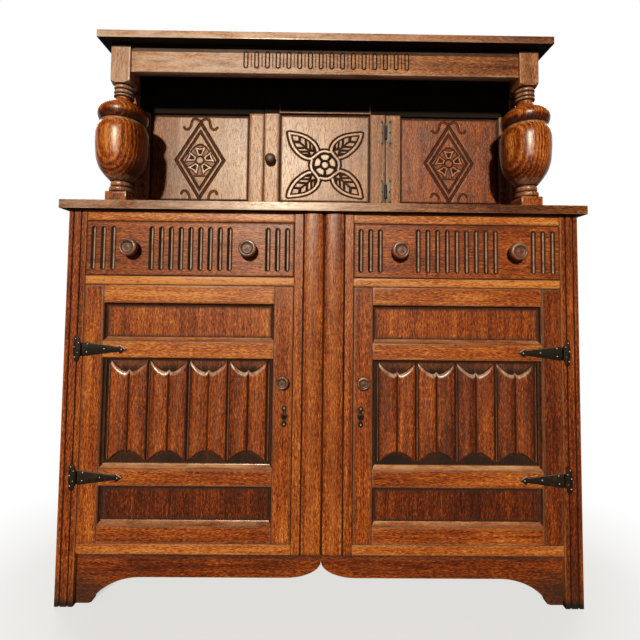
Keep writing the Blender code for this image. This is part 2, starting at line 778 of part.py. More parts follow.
# Butterfly hinges: a leaf with the knuckle on the frame and a leaf on the door
leaf_back = recess_front - seam
leaf_face = leaf_back - leaf_thickness
door_side = upper_hinge_x - upper_knuckle_radius - seam
upper_door_height = upper_door_top - upper_door_low
leaf_levels = (("lower", upper_door_low + leaf_low_share * upper_door_height),
               ("upper", upper_door_low + leaf_top_share * upper_door_height))
for word, level in leaf_levels:
    leaves = (("frame", upper_hinge_x, upper_hinge_x + leaf_width, None),
              ("door", door_side, upper_hinge_x - leaf_width, hinge))
    for label, near, far, carrier in leaves:
        outline = [(near, level + leaf_waist), (far, level + leaf_half_height),
                   (far, level - leaf_half_height), (near, level - leaf_waist)]
        leaf = add_plate(word + "_" + label + "_leaf", [outline], "Y", leaf_face, leaf_back, "iron",
                         carrier)
        if carrier is None:
            rod = [(0, leaf_waist), (upper_knuckle_radius, leaf_waist), (upper_knuckle_radius, -leaf_waist),
                   (0, -leaf_waist)]
            place = (upper_hinge_x, upper_hinge_y, level)
            pin = add_turning(word + "_leaf_knuckle", rod, knob_steps, place, None)
            combine(leaf, pin, "UNION")
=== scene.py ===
import math
import random

import bmesh
import bpy
import numpy as np
from mathutils import Matrix, Vector


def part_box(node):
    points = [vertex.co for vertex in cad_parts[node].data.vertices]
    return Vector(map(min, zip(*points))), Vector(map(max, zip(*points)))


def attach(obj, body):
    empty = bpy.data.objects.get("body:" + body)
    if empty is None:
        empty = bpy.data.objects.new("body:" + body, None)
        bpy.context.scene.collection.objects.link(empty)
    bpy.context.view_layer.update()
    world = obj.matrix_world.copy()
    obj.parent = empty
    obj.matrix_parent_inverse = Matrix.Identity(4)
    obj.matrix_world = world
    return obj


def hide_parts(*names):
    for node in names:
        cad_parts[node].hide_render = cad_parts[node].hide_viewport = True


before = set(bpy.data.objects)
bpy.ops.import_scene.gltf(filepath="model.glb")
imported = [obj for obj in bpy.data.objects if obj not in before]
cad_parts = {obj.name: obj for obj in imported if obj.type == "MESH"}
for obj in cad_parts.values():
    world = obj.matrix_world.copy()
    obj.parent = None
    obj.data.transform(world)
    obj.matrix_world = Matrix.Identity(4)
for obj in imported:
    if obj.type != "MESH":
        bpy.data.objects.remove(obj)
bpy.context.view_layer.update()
scene = bpy.context.scene
scene.view_settings.view_transform = "Standard"
print("frame loaded,", len(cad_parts), "nodes")


# camera, fitted to the corners in the photograph
photo = {"place": (-0.009, -1.0881, 0.7077), "turns": (("Z", -0.435), ("X", 2.47), ("Y", -0.613), ("X", 90)),
         "pixels": 640, "focal": 378.3, "axisX": 322.9, "axisY": 283.3}
lens = bpy.data.cameras.new("photoCamera")
lens.sensor_width = 36
lens.lens = photo["focal"] / photo["pixels"] * lens.sensor_width
lens.shift_x = 0.5 - photo["axisX"] / photo["pixels"]
lens.shift_y = photo["axisY"] / photo["pixels"] - 0.5
camera = bpy.data.objects.new("photoCamera", lens)
scene.collection.objects.link(camera)
look = Matrix.Translation(photo["place"])
for axis, turn in photo["turns"]:
    look = look @ Matrix.Rotation(math.radians(turn), 4, axis)
camera.matrix_world = look
scene.camera = camera


class Value:  # a socket that can stand in a sum
    def __init__(self, finish, socket):
        self.finish = finish
        self.socket = socket

    def reckon(self, operation, first, second):
        return self.finish.add("ShaderNodeMath", {"operation": operation}, {0: first, 1: second})

    def __add__(self, other):
        return self.reckon("ADD", self, other)

    def __sub__(self, other):
        return self.reckon("SUBTRACT", self, other)

    def __rsub__(self, other):
        return self.reckon("SUBTRACT", other, self)

    def __mul__(self, other):
        return self.reckon("MULTIPLY", self, other)


class Finish:  # one material being wired
    def __init__(self, owner):
        owner.use_nodes = True
        self.owner = owner
        self.nodes = owner.node_tree.nodes
        self.links = owner.node_tree.links

    def add(self, kind, settings, sockets, output=0):
        node = self.nodes.new(kind)
        for key, setting in settings.items():
            if key == "stops":
                band = node.color_ramp
                while len(band.elements) < len(setting):
                    band.elements.new(0.5)
                for stop, (place, colour) in zip(band.elements, setting):
                    stop.position = place
                    stop.color = (*colour, 1)
            else:
                setattr(node, key, setting)
        for key, given in sockets.items():
            self.feed(node.inputs[key], given)
        return Value(self, node.outputs[output])

    def feed(self, socket, given):
        if isinstance(given, Value):
            self.links.new(given.socket, socket)
        elif socket.type == "RGBA":
            socket.default_value = (*given, 1)
        else:
            socket.default_value = given

    def feedSurface(self, given):
        for key, value in given.items():
            self.feed(self.nodes["Principled BSDF"].inputs[key], value)

    def painted(self, word):  # a number that the mesh carries at each point
        return self.add("ShaderNodeAttribute", {"attribute_name": word}, {}, 2)

    def noise(self, place, stretch, detail=2, twist=0.0):
        spread = self.add("ShaderNodeVectorMath", {"operation": "MULTIPLY"}, {0: place, 1: stretch})
        sockets = {"Vector": spread, "Scale": 1, "Detail": detail, "Roughness": 0.55, "Distortion": twist}
        return self.add("ShaderNodeTexNoise", {}, sockets)

    def between(self, value, low, high):
        sockets = {"Value": value, "From Min": low, "From Max": high}
        return self.add("ShaderNodeMapRange", {"interpolation_type": "SMOOTHSTEP"}, sockets)

    def mix(self, share, under, over):
        settings = {"data_type": "RGBA", "blend_type": "MIX", "clamp_factor": True}
        return self.add("ShaderNodeMix", settings, {0: share, 6: under, 7: over}, 2)

    def openRays(self, place, near, far):  # straight rays, and mirror or clear ones far behind the piece
        rays = self.add("ShaderNodeLightPath", {}, {}, 0)
        behind = self.between(self.add("ShaderNodeSeparateXYZ", {}, {0: place}, 1), near, far)
        for output in (3, 6):
            rays = rays + self.add("ShaderNodeLightPath", {}, {}, output) * behind
        return self.add("ShaderNodeMath", {"operation": "MINIMUM"}, {0: rays, 1: 1})


# how fine each mark in the wood is, along the grain and across it
fine = {"bend": (1.3, 6, 6), "streak": (1.6, 48, 48), "lines": (9, 170, 170), "figure": (115, 500, 500),
        "pores": (64, 520, 520), "blotch": (4.5, 9, 9), "flakes": (105, 24, 45), "rubbedAndSheen": (16, 75, 75)}


def oakFinish(name, look, turn=None):
    finish = Finish(bpy.data.materials.new(name))
    if turn is None:
        grain = finish.add("ShaderNodeAttribute", {"attribute_name": "grain"}, {}, 1)
    else:
        place = finish.add("ShaderNodeTexCoord", {}, {}, 3)
        grain = finish.add("ShaderNodeMapping", {}, {"Vector": place, "Rotation": turn})
    dirt = finish.painted("dirt")
    wear = finish.painted("wear")
    bend = (finish.noise(grain, fine["bend"]) - 0.5) * look["sway"]
    drift = finish.add("ShaderNodeCombineXYZ", {}, {1: bend, 2: bend})
    fibre = finish.add("ShaderNodeVectorMath", {"operation": "ADD"}, {0: grain, 1: drift})
    streak = finish.noise(fibre, fine["streak"], 3)
    figure = finish.noise(fibre, fine["figure"])
    pores = finish.between(finish.noise(fibre, fine["pores"], 1), 0.56, 0.68)
    blotch = finish.noise(grain, fine["blotch"])
    flakes = finish.between(finish.noise(grain, fine["flakes"], 2, 1.1), 0.60, 0.69)
    shade = finish.painted("tone") + (streak - 0.5) * look["streak"]
    shade = shade + (finish.noise(fibre, fine["lines"]) - 0.5) * look["lines"] + (figure - 0.5) * look["figure"]
    shade = shade + (blotch - 0.5) * look["blotch"] - pores * look["pores"] + flakes * look["flakes"]
    if "rings" in look:  # growth rings, cut open by the turning
        sockets = {"Vector": grain, "Scale": look["ringScale"], "Distortion": 2.2, "Detail": 2,
                   "Detail Scale": 0.5}
        rings = finish.add("ShaderNodeTexWave", {"bands_direction": "Z"}, sockets, 1)
        shade = shade + (rings - 0.5) * look["rings"]
    colour = finish.add("ShaderNodeValToRGB", {"stops": look["stops"]}, {0: shade + 0.55})
    # the wear attribute also carries painted highlights and glare, mixed toward a pale colour
    rubbedAndSheen = wear * finish.between(finish.noise(grain, fine["rubbedAndSheen"]), 0.12, 0.78) * look["rubbedAndSheen"]
    # the dirt attribute also carries painted shade, mixed toward a near-black colour
    cakedAndShaded = dirt * (blotch * 0.5 + 0.75)
    colour = finish.mix(cakedAndShaded, finish.mix(rubbedAndSheen, colour, look["bare"]), look["soot"])
    height = figure * 0.5 + streak * 0.3 - pores * 0.7
    sockets = {"Strength": look["relief"], "Distance": 0.0006, "Height": height}
    finish.feedSurface({"Base Color": colour, "Specular IOR Level": look["sheen"],
                        "Roughness": (figure - 0.5) * 0.14 + cakedAndShaded * 0.5 + look["gloss"] - wear * 0.10,
                        "Normal": finish.add("ShaderNodeBump", {}, sockets)})
    return finish.owner


def ironFinish(name, look):
    finish = Finish(bpy.data.materials.new(name))
    place = finish.add("ShaderNodeTexCoord", {}, {}, 3)
    wear = finish.painted("wear")
    hammer = finish.noise(place, (190, 190, 190), 1)
    scale = finish.noise(place, (700, 700, 700), 3)
    rust = finish.between(finish.noise(place, (60, 60, 60), 3), 0.52, 0.72)
    colour = finish.mix(rust * 0.5, finish.mix(scale, look["black"], look["grey"]), look["rust"])
    colour = finish.mix(wear * (scale * 0.6 + 0.5), colour, look["bright"])
    sockets = {"Strength": 0.5, "Distance": 0.0008, "Height": hammer + scale * 0.2}
    finish.feedSurface({"Base Color": colour, "Metallic": 0.3 - rust * 0.2, "Specular IOR Level": look["sheen"],
                        "Roughness": scale * 0.2 + look["gloss"] - wear * 0.12,
                        "Normal": finish.add("ShaderNodeBump", {}, sockets)})
    return finish.owner


oakStops = ((0.0, (0.036, 0.007, 0.003)), (0.32, (0.118, 0.0195, 0.0035)), (0.56, (0.285, 0.053, 0.007)),
            (0.80, (0.46, 0.125, 0.018)), (1.0, (0.64, 0.25, 0.06)))
# paler oak colours for the upper front and the tops, with the key light's glare painted in
paintedGlareStops = ((0.0, (0.045, 0.012, 0.005)), (0.32, (0.14, 0.036, 0.009)), (0.56, (0.30, 0.092, 0.022)),
             (0.80, (0.44, 0.18, 0.06)), (1.0, (0.60, 0.30, 0.12)))
dryStops = ((0.0, (0.06, 0.026, 0.011)), (0.32, (0.16, 0.075, 0.032)), (0.56, (0.28, 0.145, 0.066)),
            (0.80, (0.40, 0.23, 0.115)), (1.0, (0.52, 0.33, 0.18)))
oakLook = {"stops": oakStops, "soot": (0.010, 0.004, 0.002), "bare": (0.58, 0.25, 0.08), "sway": 0.022,
           "streak": 0.58, "lines": 0.60, "figure": 1.35, "blotch": 0.50, "pores": 0.24, "flakes": 0.08,
           "rubbedAndSheen": 0.50, "gloss": 0.36, "sheen": 0.32, "relief": 0.28}
dryLook = {**oakLook, "stops": dryStops, "gloss": 0.62}
# the turned and knob looks take a pale colour for their painted highlights
turnedLook = {**oakLook, "rings": 0.34, "ringScale": 42, "gloss": 0.31, "sheen": 0.45, "relief": 0.12,
              "bare": (0.66, 0.47, 0.37), "rubbedAndSheen": 0.7}
paintedGlareLook = {**oakLook, "stops": paintedGlareStops, "pores": 0.36, "flakes": 0.12, "bare": (0.72, 0.53, 0.45),
             "rubbedAndSheen": 0.75}
knobLook = {**oakLook, "bare": (0.62, 0.48, 0.36), "rubbedAndSheen": 0.6, "gloss": 0.28, "sheen": 0.6}
ironLook = {"black": (0.007, 0.004, 0.0025), "grey": (0.022, 0.013, 0.008), "rust": (0.055, 0.019, 0.008),
            "bright": (0.64, 0.50, 0.41), "gloss": 0.42, "sheen": 0.3}
finishes = {
    "oak": oakFinish("waxedOak", oakLook),
    "oak_light": oakFinish("orangeOak", {**oakLook, "streak": 0.52, "bare": (0.66, 0.37, 0.20)}),
    "oak_dark": oakFinish("smokedOak", {**oakLook, "gloss": 0.35, "flakes": 0.03}),
    "oak_panel": oakFinish("panelOak", {**oakLook, "flakes": 0.10, "streak": 0.52, "bare": (0.62, 0.45, 0.33)}),
    "oak_inside": oakFinish("dryOak", {**dryLook, "rubbedAndSheen": 0.3}),
    "oak_turned": oakFinish("polishedTurning", turnedLook),
    "iron": ironFinish("blackIron", ironLook),
}
# a paler copy of the oak, with painted glare, for the upper pieces
upperOak = oakFinish("upperOak", paintedGlareLook)
knobOak = oakFinish("knobOak", knobLook)
dryLengthways = oakFinish("dryOakLengthways", dryLook, (0, 0, 0))
dryFrontToBack = oakFinish("dryOakFrontToBack", dryLook, (0, 0, math.radians(90)))
print("finishes wired")


# helpers that every piece uses
grainOrder = {"x": (0, 2, 1), "y": (1, 0, 2), "z": (2, 0, 1)}
sides = ((-1, "left"), (1, "right"))


def newShape():
    bm = bmesh.new()
    bm.verts.layers.float_vector.new("grain")
    for word in ("tone", "dirt", "wear"):
        bm.verts.layers.float.new(word)
    return bm


def layer(bm, word):
    return bm.verts.layers.float[word]


def fresh(bm, before):
    return [vert for vert in bm.verts if vert not in before]


def onlyVerts(parts):
    return [part for part in parts if isinstance(part, bmesh.types.BMVert)]


def dress(bm, verts, along, tone, seed):  # grain runs along the board, and starts somewhere else on each
    chance = random.Random(seed)
    shift = Vector([chance.uniform(-9, 9) for axis in "xyz"])
    grain = bm.verts.layers.float_vector["grain"]
    shade = layer(bm, "tone")
    for vert in verts:
        vert[grain] = Vector([vert.co[axis] for axis in grainOrder[along]]) + shift
        vert[shade] = tone


def paint(bm, verts, word, amount):
    for vert in verts:
        vert[layer(bm, word)] = amount


def cutAcross(bm, axis, places):  # new edges where the paint changes
    way = Vector([float(word == axis) for word in "xyz"])
    for place in places:
        everything = bm.verts[:] + bm.edges[:] + bm.faces[:]
        bmesh.ops.bisect_plane(bm, geom=everything, plane_co=way * place, plane_no=way)


def settle(name, bm, slot, body, nodes=(), crease=35, finish=None):
    bmesh.ops.recalc_face_normals(bm, faces=bm.faces)
    mesh = bpy.data.meshes.new(name)
    bm.to_mesh(mesh)
    bm.free()
    mesh.materials.append(finish or finishes[slot])
    mesh.shade_smooth()
    mesh.set_sharp_from_angle(angle=math.radians(crease))
    piece = bpy.data.objects.new(name, mesh)
    scene.collection.objects.link(piece)
    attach(piece, body)
    if nodes:
        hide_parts(*nodes)


def board(bm, low, high, along, tone, seed, ease=0.0012, wear=0.5, dirt=0.0, rim=0.005):
    before = set(bm.verts)
    size = Vector(high) - Vector(low)
    verts = bmesh.ops.create_cube(bm, size=1)["verts"]
    bmesh.ops.scale(bm, vec=size, verts=verts)
    bmesh.ops.translate(bm, vec=(Vector(high) + Vector(low)) / 2, verts=verts)
    edges = list({edge for vert in verts for edge in vert.link_edges})
    bmesh.ops.bevel(bm, geom=edges, offset=ease, segments=2, profile=0.5, affect="EDGES", material=-1)
    verts = fresh(bm, before)
    paint(bm, verts, "wear", wear)
    paint(bm, verts, "dirt", dirt)
    faces = {face for vert in verts for face in vert.link_faces}
    faces = sorted(faces, key=lambda face: -face.calc_area())[:6]
    bmesh.ops.inset_individual(bm, faces=faces, thickness=min(rim, 0.3 * min(size)), use_even_offset=True)
    for face in faces:
        paint(bm, face.verts, "wear", 0)
        paint(bm, face.verts, "dirt", 0)
    verts = fresh(bm, before)
    dress(bm, verts, along, tone, seed)
    return verts


def bar(bm, box, xs, zs, *look):  # a board as thick as the box it stands in
    left, right = sorted(xs)
    return board(bm, (left, box[0].y, zs[0]), (right, box[1].y, zs[1]), *look)


def sheet(bm, gridX, gridZ, face, back, carving, along, tone, seed):  # a board whose face is carved
    rows, columns = gridX.shape
    verts = bmesh.ops.create_grid(bm, x_segments=columns - 1, y_segments=rows - 1, size=0.5)["verts"]
    cut = carving(gridX, gridZ)
    tones = []
    for vert in verts:
        column = round((vert.co.x + 0.5) * (columns - 1))
        row = round((vert.co.y + 0.5) * (rows - 1))
        vert.co = (gridX[row, column], face + cut["depth"][row, column], gridZ[row, column])
        for word in ("dirt", "wear"):
            vert[layer(bm, word)] = cut[word][row, column]
        tones.append(cut["tone"][row, column])
    dress(bm, verts, along, tone, seed)
    for vert, extra in zip(verts, tones):
        vert[layer(bm, "tone")] = tone + extra
    rim = [edge for edge in {edge for vert in verts for edge in vert.link_edges} if edge.is_boundary]
    walls = bmesh.ops.extrude_edge_only(bm, edges=rim)["geom"]
    rear = onlyVerts(walls)
    for vert in rear:
        vert.co.y = back
    dress(bm, rear, along, tone, seed)
    ring = set(rear)
    edges = [part for part in walls if isinstance(part, bmesh.types.BMEdge) and ring.issuperset(part.verts)]
    bmesh.ops.edgeloop_fill(bm, edges=edges)


def carved(name, node, body, slot, carving, grid, along, tone, seed, face=None, crease=35, finish=None):
    bm = newShape()
    low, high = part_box(node)
    sheet(bm, *grid, low.y if face is None else face, high.y, carving, along, tone, seed)
    settle(name, bm, slot, body, [node], crease, finish)


def evenGrid(node, columns, rows):
    low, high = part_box(node)
    return np.meshgrid(np.linspace(low.x, high.x, columns), np.linspace(low.z, high.z, rows))


def blank(gridX):  # an uncarved face
    return {word: np.zeros(gridX.shape) for word in ("depth", "dirt", "wear", "tone")}


def ramp(value, low, high):
    share = np.clip((value - low) / (high - low), 0, 1)
    return share * share * (3 - 2 * share)


def bump(share):  # a half round, from 0 to 1 and back
    return np.sqrt(np.clip(1 - share ** 2, 0, 1))


def grow(cut, word, amount):
    cut[word] = np.maximum(cut[word], amount)


def groove(cut, line, depth, dirt):
    grow(cut, "depth", depth * line)
    grow(cut, "dirt", dirt * line)


def roundOver(cut, edge, size):
    cut["depth"] += size * np.clip(1 - edge / size, 0, 1) ** 2


def edgeDistance(gridX, gridZ):
    side = np.minimum(gridX - gridX.min(), gridX.max() - gridX)
    end = np.minimum(gridZ - gridZ.min(0), gridZ.max(0) - gridZ)
    return np.minimum(side, end)


def spaced(stops, steps):  # rows that lie closer where the carving needs them
    bands = zip(stops, stops[1:], steps)
    parts = [np.linspace(low, high, count, endpoint=False) for low, high, count in bands]
    return np.concatenate(parts + [np.array(stops[-1])[None]])


def curve(points, steps=10):  # a smooth line through a few points
    line = [2 * np.array(points[0]) - np.array(points[1])] + [np.array(p) for p in points]
    line.append(2 * line[-1] - line[-2])
    path = []
    for a, b, c, d in zip(line, line[1:], line[2:], line[3:]):
        for t in np.linspace(0, 1, steps, endpoint=False):
            path.append(0.5 * (2 * b + (c - a) * t + (2 * a - 5 * b + 4 * c - d) * t ** 2
                               + (3 * b - a - 3 * c + d) * t ** 3))
    return np.array(path + [line[-2]])


def away(gridX, gridZ, path):  # how far each point is from a drawn line
    nearest = np.full(gridX.shape, 9.0)
    for (ax, az), (bx, bz) in zip(path, path[1:]):
        dx = bx - ax
        dz = bz - az
        share = np.clip(((gridX - ax) * dx + (gridZ - az) * dz) / (dx * dx + dz * dz), 0, 1)
        nearest = np.minimum(nearest, np.hypot(gridX - ax - share * dx, gridZ - az - share * dz))
    return nearest


def within(gridX, gridZ, path):  # which points a closed line goes round
    inside = np.zeros(gridX.shape, bool)
    for (ax, az), (bx, bz) in zip(path, np.roll(path, -1, axis=0)):
        crosses = (az > gridZ) != (bz > gridZ)
        reach = ax + (gridZ - az) * (bx - ax) / (bz - az if bz != az else 1)
        inside ^= crosses & (gridX < reach)
    return inside


def turned(bm, profile, place, steps, seed, tone, toFront=False):
    before = set(bm.verts)
    points = [bm.verts.new((radius, 0, height)) for radius, height in profile]
    edges = [bm.edges.new(pair) for pair in zip(points, points[1:])]
    bmesh.ops.spin(bm, geom=points + edges, cent=(0, 0, 0), axis=(0, 0, 1), angle=math.tau, steps=steps,
                   use_merge=True)
    bmesh.ops.remove_doubles(bm, verts=fresh(bm, before), dist=0.000005)
    verts = fresh(bm, before)
    if toFront:
        bmesh.ops.rotate(bm, cent=(0, 0, 0), matrix=Matrix.Rotation(math.pi / 2, 3, "X"), verts=verts)
    bmesh.ops.translate(bm, vec=place, verts=verts)
    dress(bm, verts, "x" if toFront else "z", tone, seed)
    return verts


def barrel(radius, end, shoulder, waist):  # a knuckle in three lengths
    upper = [(0, end), (radius * 0.8, end), (radius, shoulder), (radius, 0.006), (radius * waist, 0.0055),
             (radius, 0.005)]
    return upper + [(reach, -height) for reach, height in reversed(upper)]


def plate(bm, outline, front, back, ease):  # flat iron, cut to an outline seen from the front
    before = set(bm.verts)
    face = bm.faces.new([bm.verts.new((x, front, z)) for x, z in outline])
    edges = list(face.edges)
    deep = bmesh.ops.extrude_face_region(bm, geom=[face], use_keep_orig=True)["geom"]
    bmesh.ops.translate(bm, vec=(0, back - front, 0), verts=onlyVerts(deep))
    bmesh.ops.bevel(bm, geom=edges, offset=ease, segments=2, profile=0.5, affect="EDGES", material=-1)
    return fresh(bm, before)


def bothWays(half, middle):  # an outline from its upper half
    lower = [(x, middle - up) for x, up in reversed(half[:-1])]
    return [(x, middle + up) for x, up in half] + lower


def mirrored(pairs, side):
    return [(side * x, z) for x, z in pairs]


def nail(bm, x, y, z, radius, wear=0.8):  # a domed head
    verts = bmesh.ops.create_uvsphere(bm, u_segments=12, v_segments=8, radius=radius)["verts"]
    bmesh.ops.scale(bm, vec=(1, 0.55, 1), verts=verts)
    bmesh.ops.translate(bm, vec=(x, y, z), verts=verts)
    paint(bm, verts, "wear", wear)


def moulding(bm, low, high, face, profiles, tone, seed, sillHighlight=0.9):  # four mitred strips round a panel
    upright = profiles["side"]
    for side in ("sill", "right", "head", "left"):
        before = set(bm.verts)
        profile = profiles.get(side, upright)
        across, rise, fall = [profiles.get(word, upright)[-2][0] / profile[-2][0] for word in ("side", "sill", "head")]
        near = []
        far = []
        for inset, depth in profile:
            x = (low[0] + inset * across, high[0] - inset * across)
            z = (low[1] + inset * rise, high[1] - inset * fall)
            if side in ("left", "right"):
                x = (x[side == "right"],) * 2
            else:
                z = (z[side == "head"],) * 2
            near.append((x[0], face + depth, z[0]))
            far.append((x[1], face + depth, z[1]))
        points = [bm.verts.new(place) for place in near]
        edges = [bm.edges.new(pair) for pair in zip(points, points[1:] + points[:1])]
        for vert in onlyVerts(bmesh.ops.extrude_edge_only(bm, edges=edges)["geom"]):
            vert.co = far[min(range(len(near)), key=lambda k: (Vector(near[k]) - vert.co).length)]
        verts = fresh(bm, before)
        arris = face + 0.2 * max(depth for inset, depth in profile)
        # the deep side and head strips are painted dark, partly dirt and partly painted shade; the sill takes a
        # painted highlight
        cakedAndShaded = 0.05 if side == "sill" else 0.8
        edge = profiles.get("headShadow", 0.1) if side == "head" else 0.1
        rubbedAndSheen = sillHighlight if side == "sill" else 0
        for vert in verts:
            vert[layer(bm, "dirt")] = cakedAndShaded if vert.co.y > arris else edge
            vert[layer(bm, "wear")] = 0.6 if vert.co.y < arris and edge < 0.2 else rubbedAndSheen
        dress(bm, verts, "x" if side in ("sill", "head") else "z", tone, seed + side)


# main top and canopy: thick boards, square and rubbed, as marks of place, tone and wear, where the wear also carries
# painted glare that is paler to the left; their undersides are painted dark as shade
tops = {"main_top": ("mainTopBoard", 0.0007,
                     ((-0.63, -0.17, 0.5), (-0.40, -0.15, 0.5), (-0.24, 0.05, 0.8), (-0.11, 0.13, 1.0),
                      (0.0, 0.08, 0.8), (0.10, 0.02, 0.5), (0.24, -0.12, 0.05), (0.40, -0.28, 0),
                      (0.63, -0.22, 0))),
        "canopy_top": ("canopyBoard", 0.0006,
                       ((-0.57, 0.05, 1.0), (-0.38, 0.16, 1.1), (-0.2, 0.24, 0.8), (0.0, 0.20, 0.6),
                        (0.25, 0.02, 0.3), (0.57, -0.14, 0)))}
for node, (name, rounding, marks) in tops.items():
    bm = newShape()
    low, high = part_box(node)
    board(bm, low, high, "x", 0, name, rounding, 1.0, 0.0, 0.0022)
    places, tones, rubsAndGlare = zip(*marks)
    cutAcross(bm, "x", places[1:-1])
    dress(bm, bm.verts, "x", 0, name)
    for vert in bm.verts:
        up = vert.co.z - low.z
        vert[layer(bm, "tone")] = np.interp(vert.co.x, places, tones)
        # a pale line along the lower front edge, stronger to the left: partly wear, partly painted highlight
        rim = (0.8 if vert.co.x < 0.1 else 0.2) if 0.0003 < up < 0.0025 else 0.0
        vert[layer(bm, "wear")] = np.interp(vert.co.x, places, rubsAndGlare) + rim
        # the underside is painted near black as shade
        if up < 0.0003:
            vert[layer(bm, "dirt")] = 1.1
    settle(name, bm, "oak", "carcass", [node], finish=upperOak)
print("tops made")


# front stiles with two sunk grooves
stile = {"grooves": (0.598, 0.5795), "half": 0.0017, "depth": 0.0030, "ease": 0.0016, "tones": (-0.02, -0.16)}


def carveStile(gridX, gridZ):
    cut = blank(gridX)
    for place in stile["grooves"]:
        gap = np.abs(np.abs(gridX) - place) / stile["half"]
        cut["depth"] += stile["depth"] * np.clip(1 - gap ** 2, 0, 1)
        grow(cut, "dirt", 0.85 * ramp(-gap, -1.5, -0.4))
    edge = np.minimum(gridX - gridX.min(), gridX.max() - gridX)
    roundOver(cut, edge, stile["ease"])
    cut["wear"] = ramp(-edge, -0.005, 0) * 0.8
    # darker towards the foot: partly dirt, partly painted shade
    grow(cut, "dirt", np.maximum(ramp(-gridZ, -0.030, -0.008), 0.45 * ramp(-gridZ, -0.10, -0.02)))
    return cut


for (side, word), tone in zip(sides, stile["tones"]):
    low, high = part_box(word + "_stile")
    grid = np.meshgrid(np.linspace(low.x, high.x, 75), spaced((low.z, 0.08, high.z), (10, 16)))
    carved(word + "FrontStile", word + "_stile", "carcass", "oak", carveStile, grid, "z", tone, word + "stile")


# centre pilaster: two flat strips and two fat reeds
pilaster = {"strip": 0.0500, "middle": 0.0013, "rise": 0.0035, "hollow": 0.0050, "tone": 0.06}


def carvePilaster(gridX, gridZ):
    cut = blank(gridX)
    across = np.abs(gridX)
    low = gridZ.min()
    share = np.clip((pilaster["strip"] - across) / (pilaster["strip"] - pilaster["middle"]), 0, 1)
    swell = bump(2 * share - 1)
    inside = across < pilaster["strip"]
    foot = np.clip((gridZ - low) / 0.014, 0, 1)
    reed = pilaster["hollow"] - (pilaster["hollow"] + pilaster["rise"]) * swell ** 0.55
    cut["depth"] = np.where(inside, reed + 0.006 * (1 - bump(1 - foot)), 0)
    gap = np.minimum(across, np.abs(across - pilaster["strip"] + 0.0012))
    cut["dirt"] = 0.95 * ramp(-gap, -0.0034, -0.0010)
    grow(cut, "dirt", 0.8 * ramp(-gridZ, -low - 0.012, -low - 0.001))
    edge = gridX.max() - across
    roundOver(cut, edge, 0.0012)
    cut["wear"] = np.maximum(0.7 * ramp(-edge, -0.004, 0), 0.35 * ramp(swell, 0.86, 1.0) * inside)
    cut["tone"] = -0.06 * (gridX > 0)
    return cut


low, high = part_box("centre_pilaster")
pilasterHalf = high.x
pilasterBack = high.y
grid = np.meshgrid(np.linspace(low.x, high.x, 237), spaced((low.z, low.z + 0.018, high.z), (12, 18)))
carved("centrePilaster", "centre_pilaster", "carcass", "oak", carvePilaster, grid, "z", pilaster["tone"],
       "pilaster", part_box("left_stile")[0].y)


# rails across the front
rails = {"top_rail": ("topRail", "oak", (0.28, 0.20)), "drawer_rail": ("drawerRail", "oak_light", (0.46, 0.29)),
         "base_rail": ("baseRail", "oak_light", (0.25, 0.15))}
for node, (name, slot, tones) in rails.items():
    bm = newShape()
    low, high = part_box(node)
    for (side, word), tone in zip(sides, tones):
        xs = (side * (pilasterHalf + 0.0004), side * high.x)
        bar(bm, (low, high), xs, (low.z, high.z), "x", tone, name + word, 0.0012, 0.5, 0.25)
    reach = pilasterHalf + 0.0003
    board(bm, (-reach, pilasterBack + 0.0004, low.z), (reach, high.y, high.z), "x", 0, name)
    settle(name, bm, slot, "carcass", [node])
print("base front made")


# apron with a shaped lower edge
apron = {"arch": 0.0585, "foot": 0.0357, "sweep": 0.1115, "power": 0.65, "cuspRise": 0.038, "cuspHalf": 0.083,
         "near": (-0.1, -0.02, 0.02, 0.1), "steps": (5, 26, 40, 24, 30, 24, 40, 26, 5), "tone": -0.12}


def apronEdge(across, end):
    share = np.clip((end - apron["foot"] - across) / apron["sweep"], 0, 1)
    edge = apron["arch"] * (1 - (1 - share) ** 2) ** apron["power"]
    return edge + apron["cuspRise"] * (1 - bump(np.clip(1 - across / apron["cuspHalf"], 0, 1)))


def carveApron(gridX, gridZ):
    cut = blank(gridX)
    below = gridZ - gridZ.min(0)
    roundOver(cut, below, 0.0016)
    cut["wear"] = 0.8 * ramp(-below, -0.004, 0)
    # darker at the top, along the lower edge and toward the feet: partly dirt, partly painted shade
    cut["dirt"] = np.maximum(0.85 * ramp(gridZ - gridZ.max(), -0.02, 0), 0.5 * ramp(-gridZ, -0.03, 0))
    grow(cut, "dirt", 0.75 * ramp(np.abs(gridX), 0.45, 0.56) * ramp(-gridZ, -0.095, -0.03))
    cut["tone"] = 0.05 * np.cos(gridX * 9) - 0.05 * gridX
    return cut


low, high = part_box("apron")
foot = apron["foot"]
stops = (low.x, low.x + foot, low.x + foot + 0.025, *apron["near"], high.x - foot - 0.025, high.x - foot, high.x)
columns = spaced(stops, apron["steps"])
share = np.append(np.array([0, 0.0008, 0.0016, 0.004]) / 0.06, np.linspace(0.1, 1, 14))
lowEdge = apronEdge(np.abs(columns), -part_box("left_stile")[1].x)
grid = (np.tile(columns, (len(share), 1)), lowEdge + (high.z - lowEdge) * share[:, None])
carved("shapedApron", "apron", "carcass", "oak_dark", carveApron, grid, "x", apron["tone"], "apron")


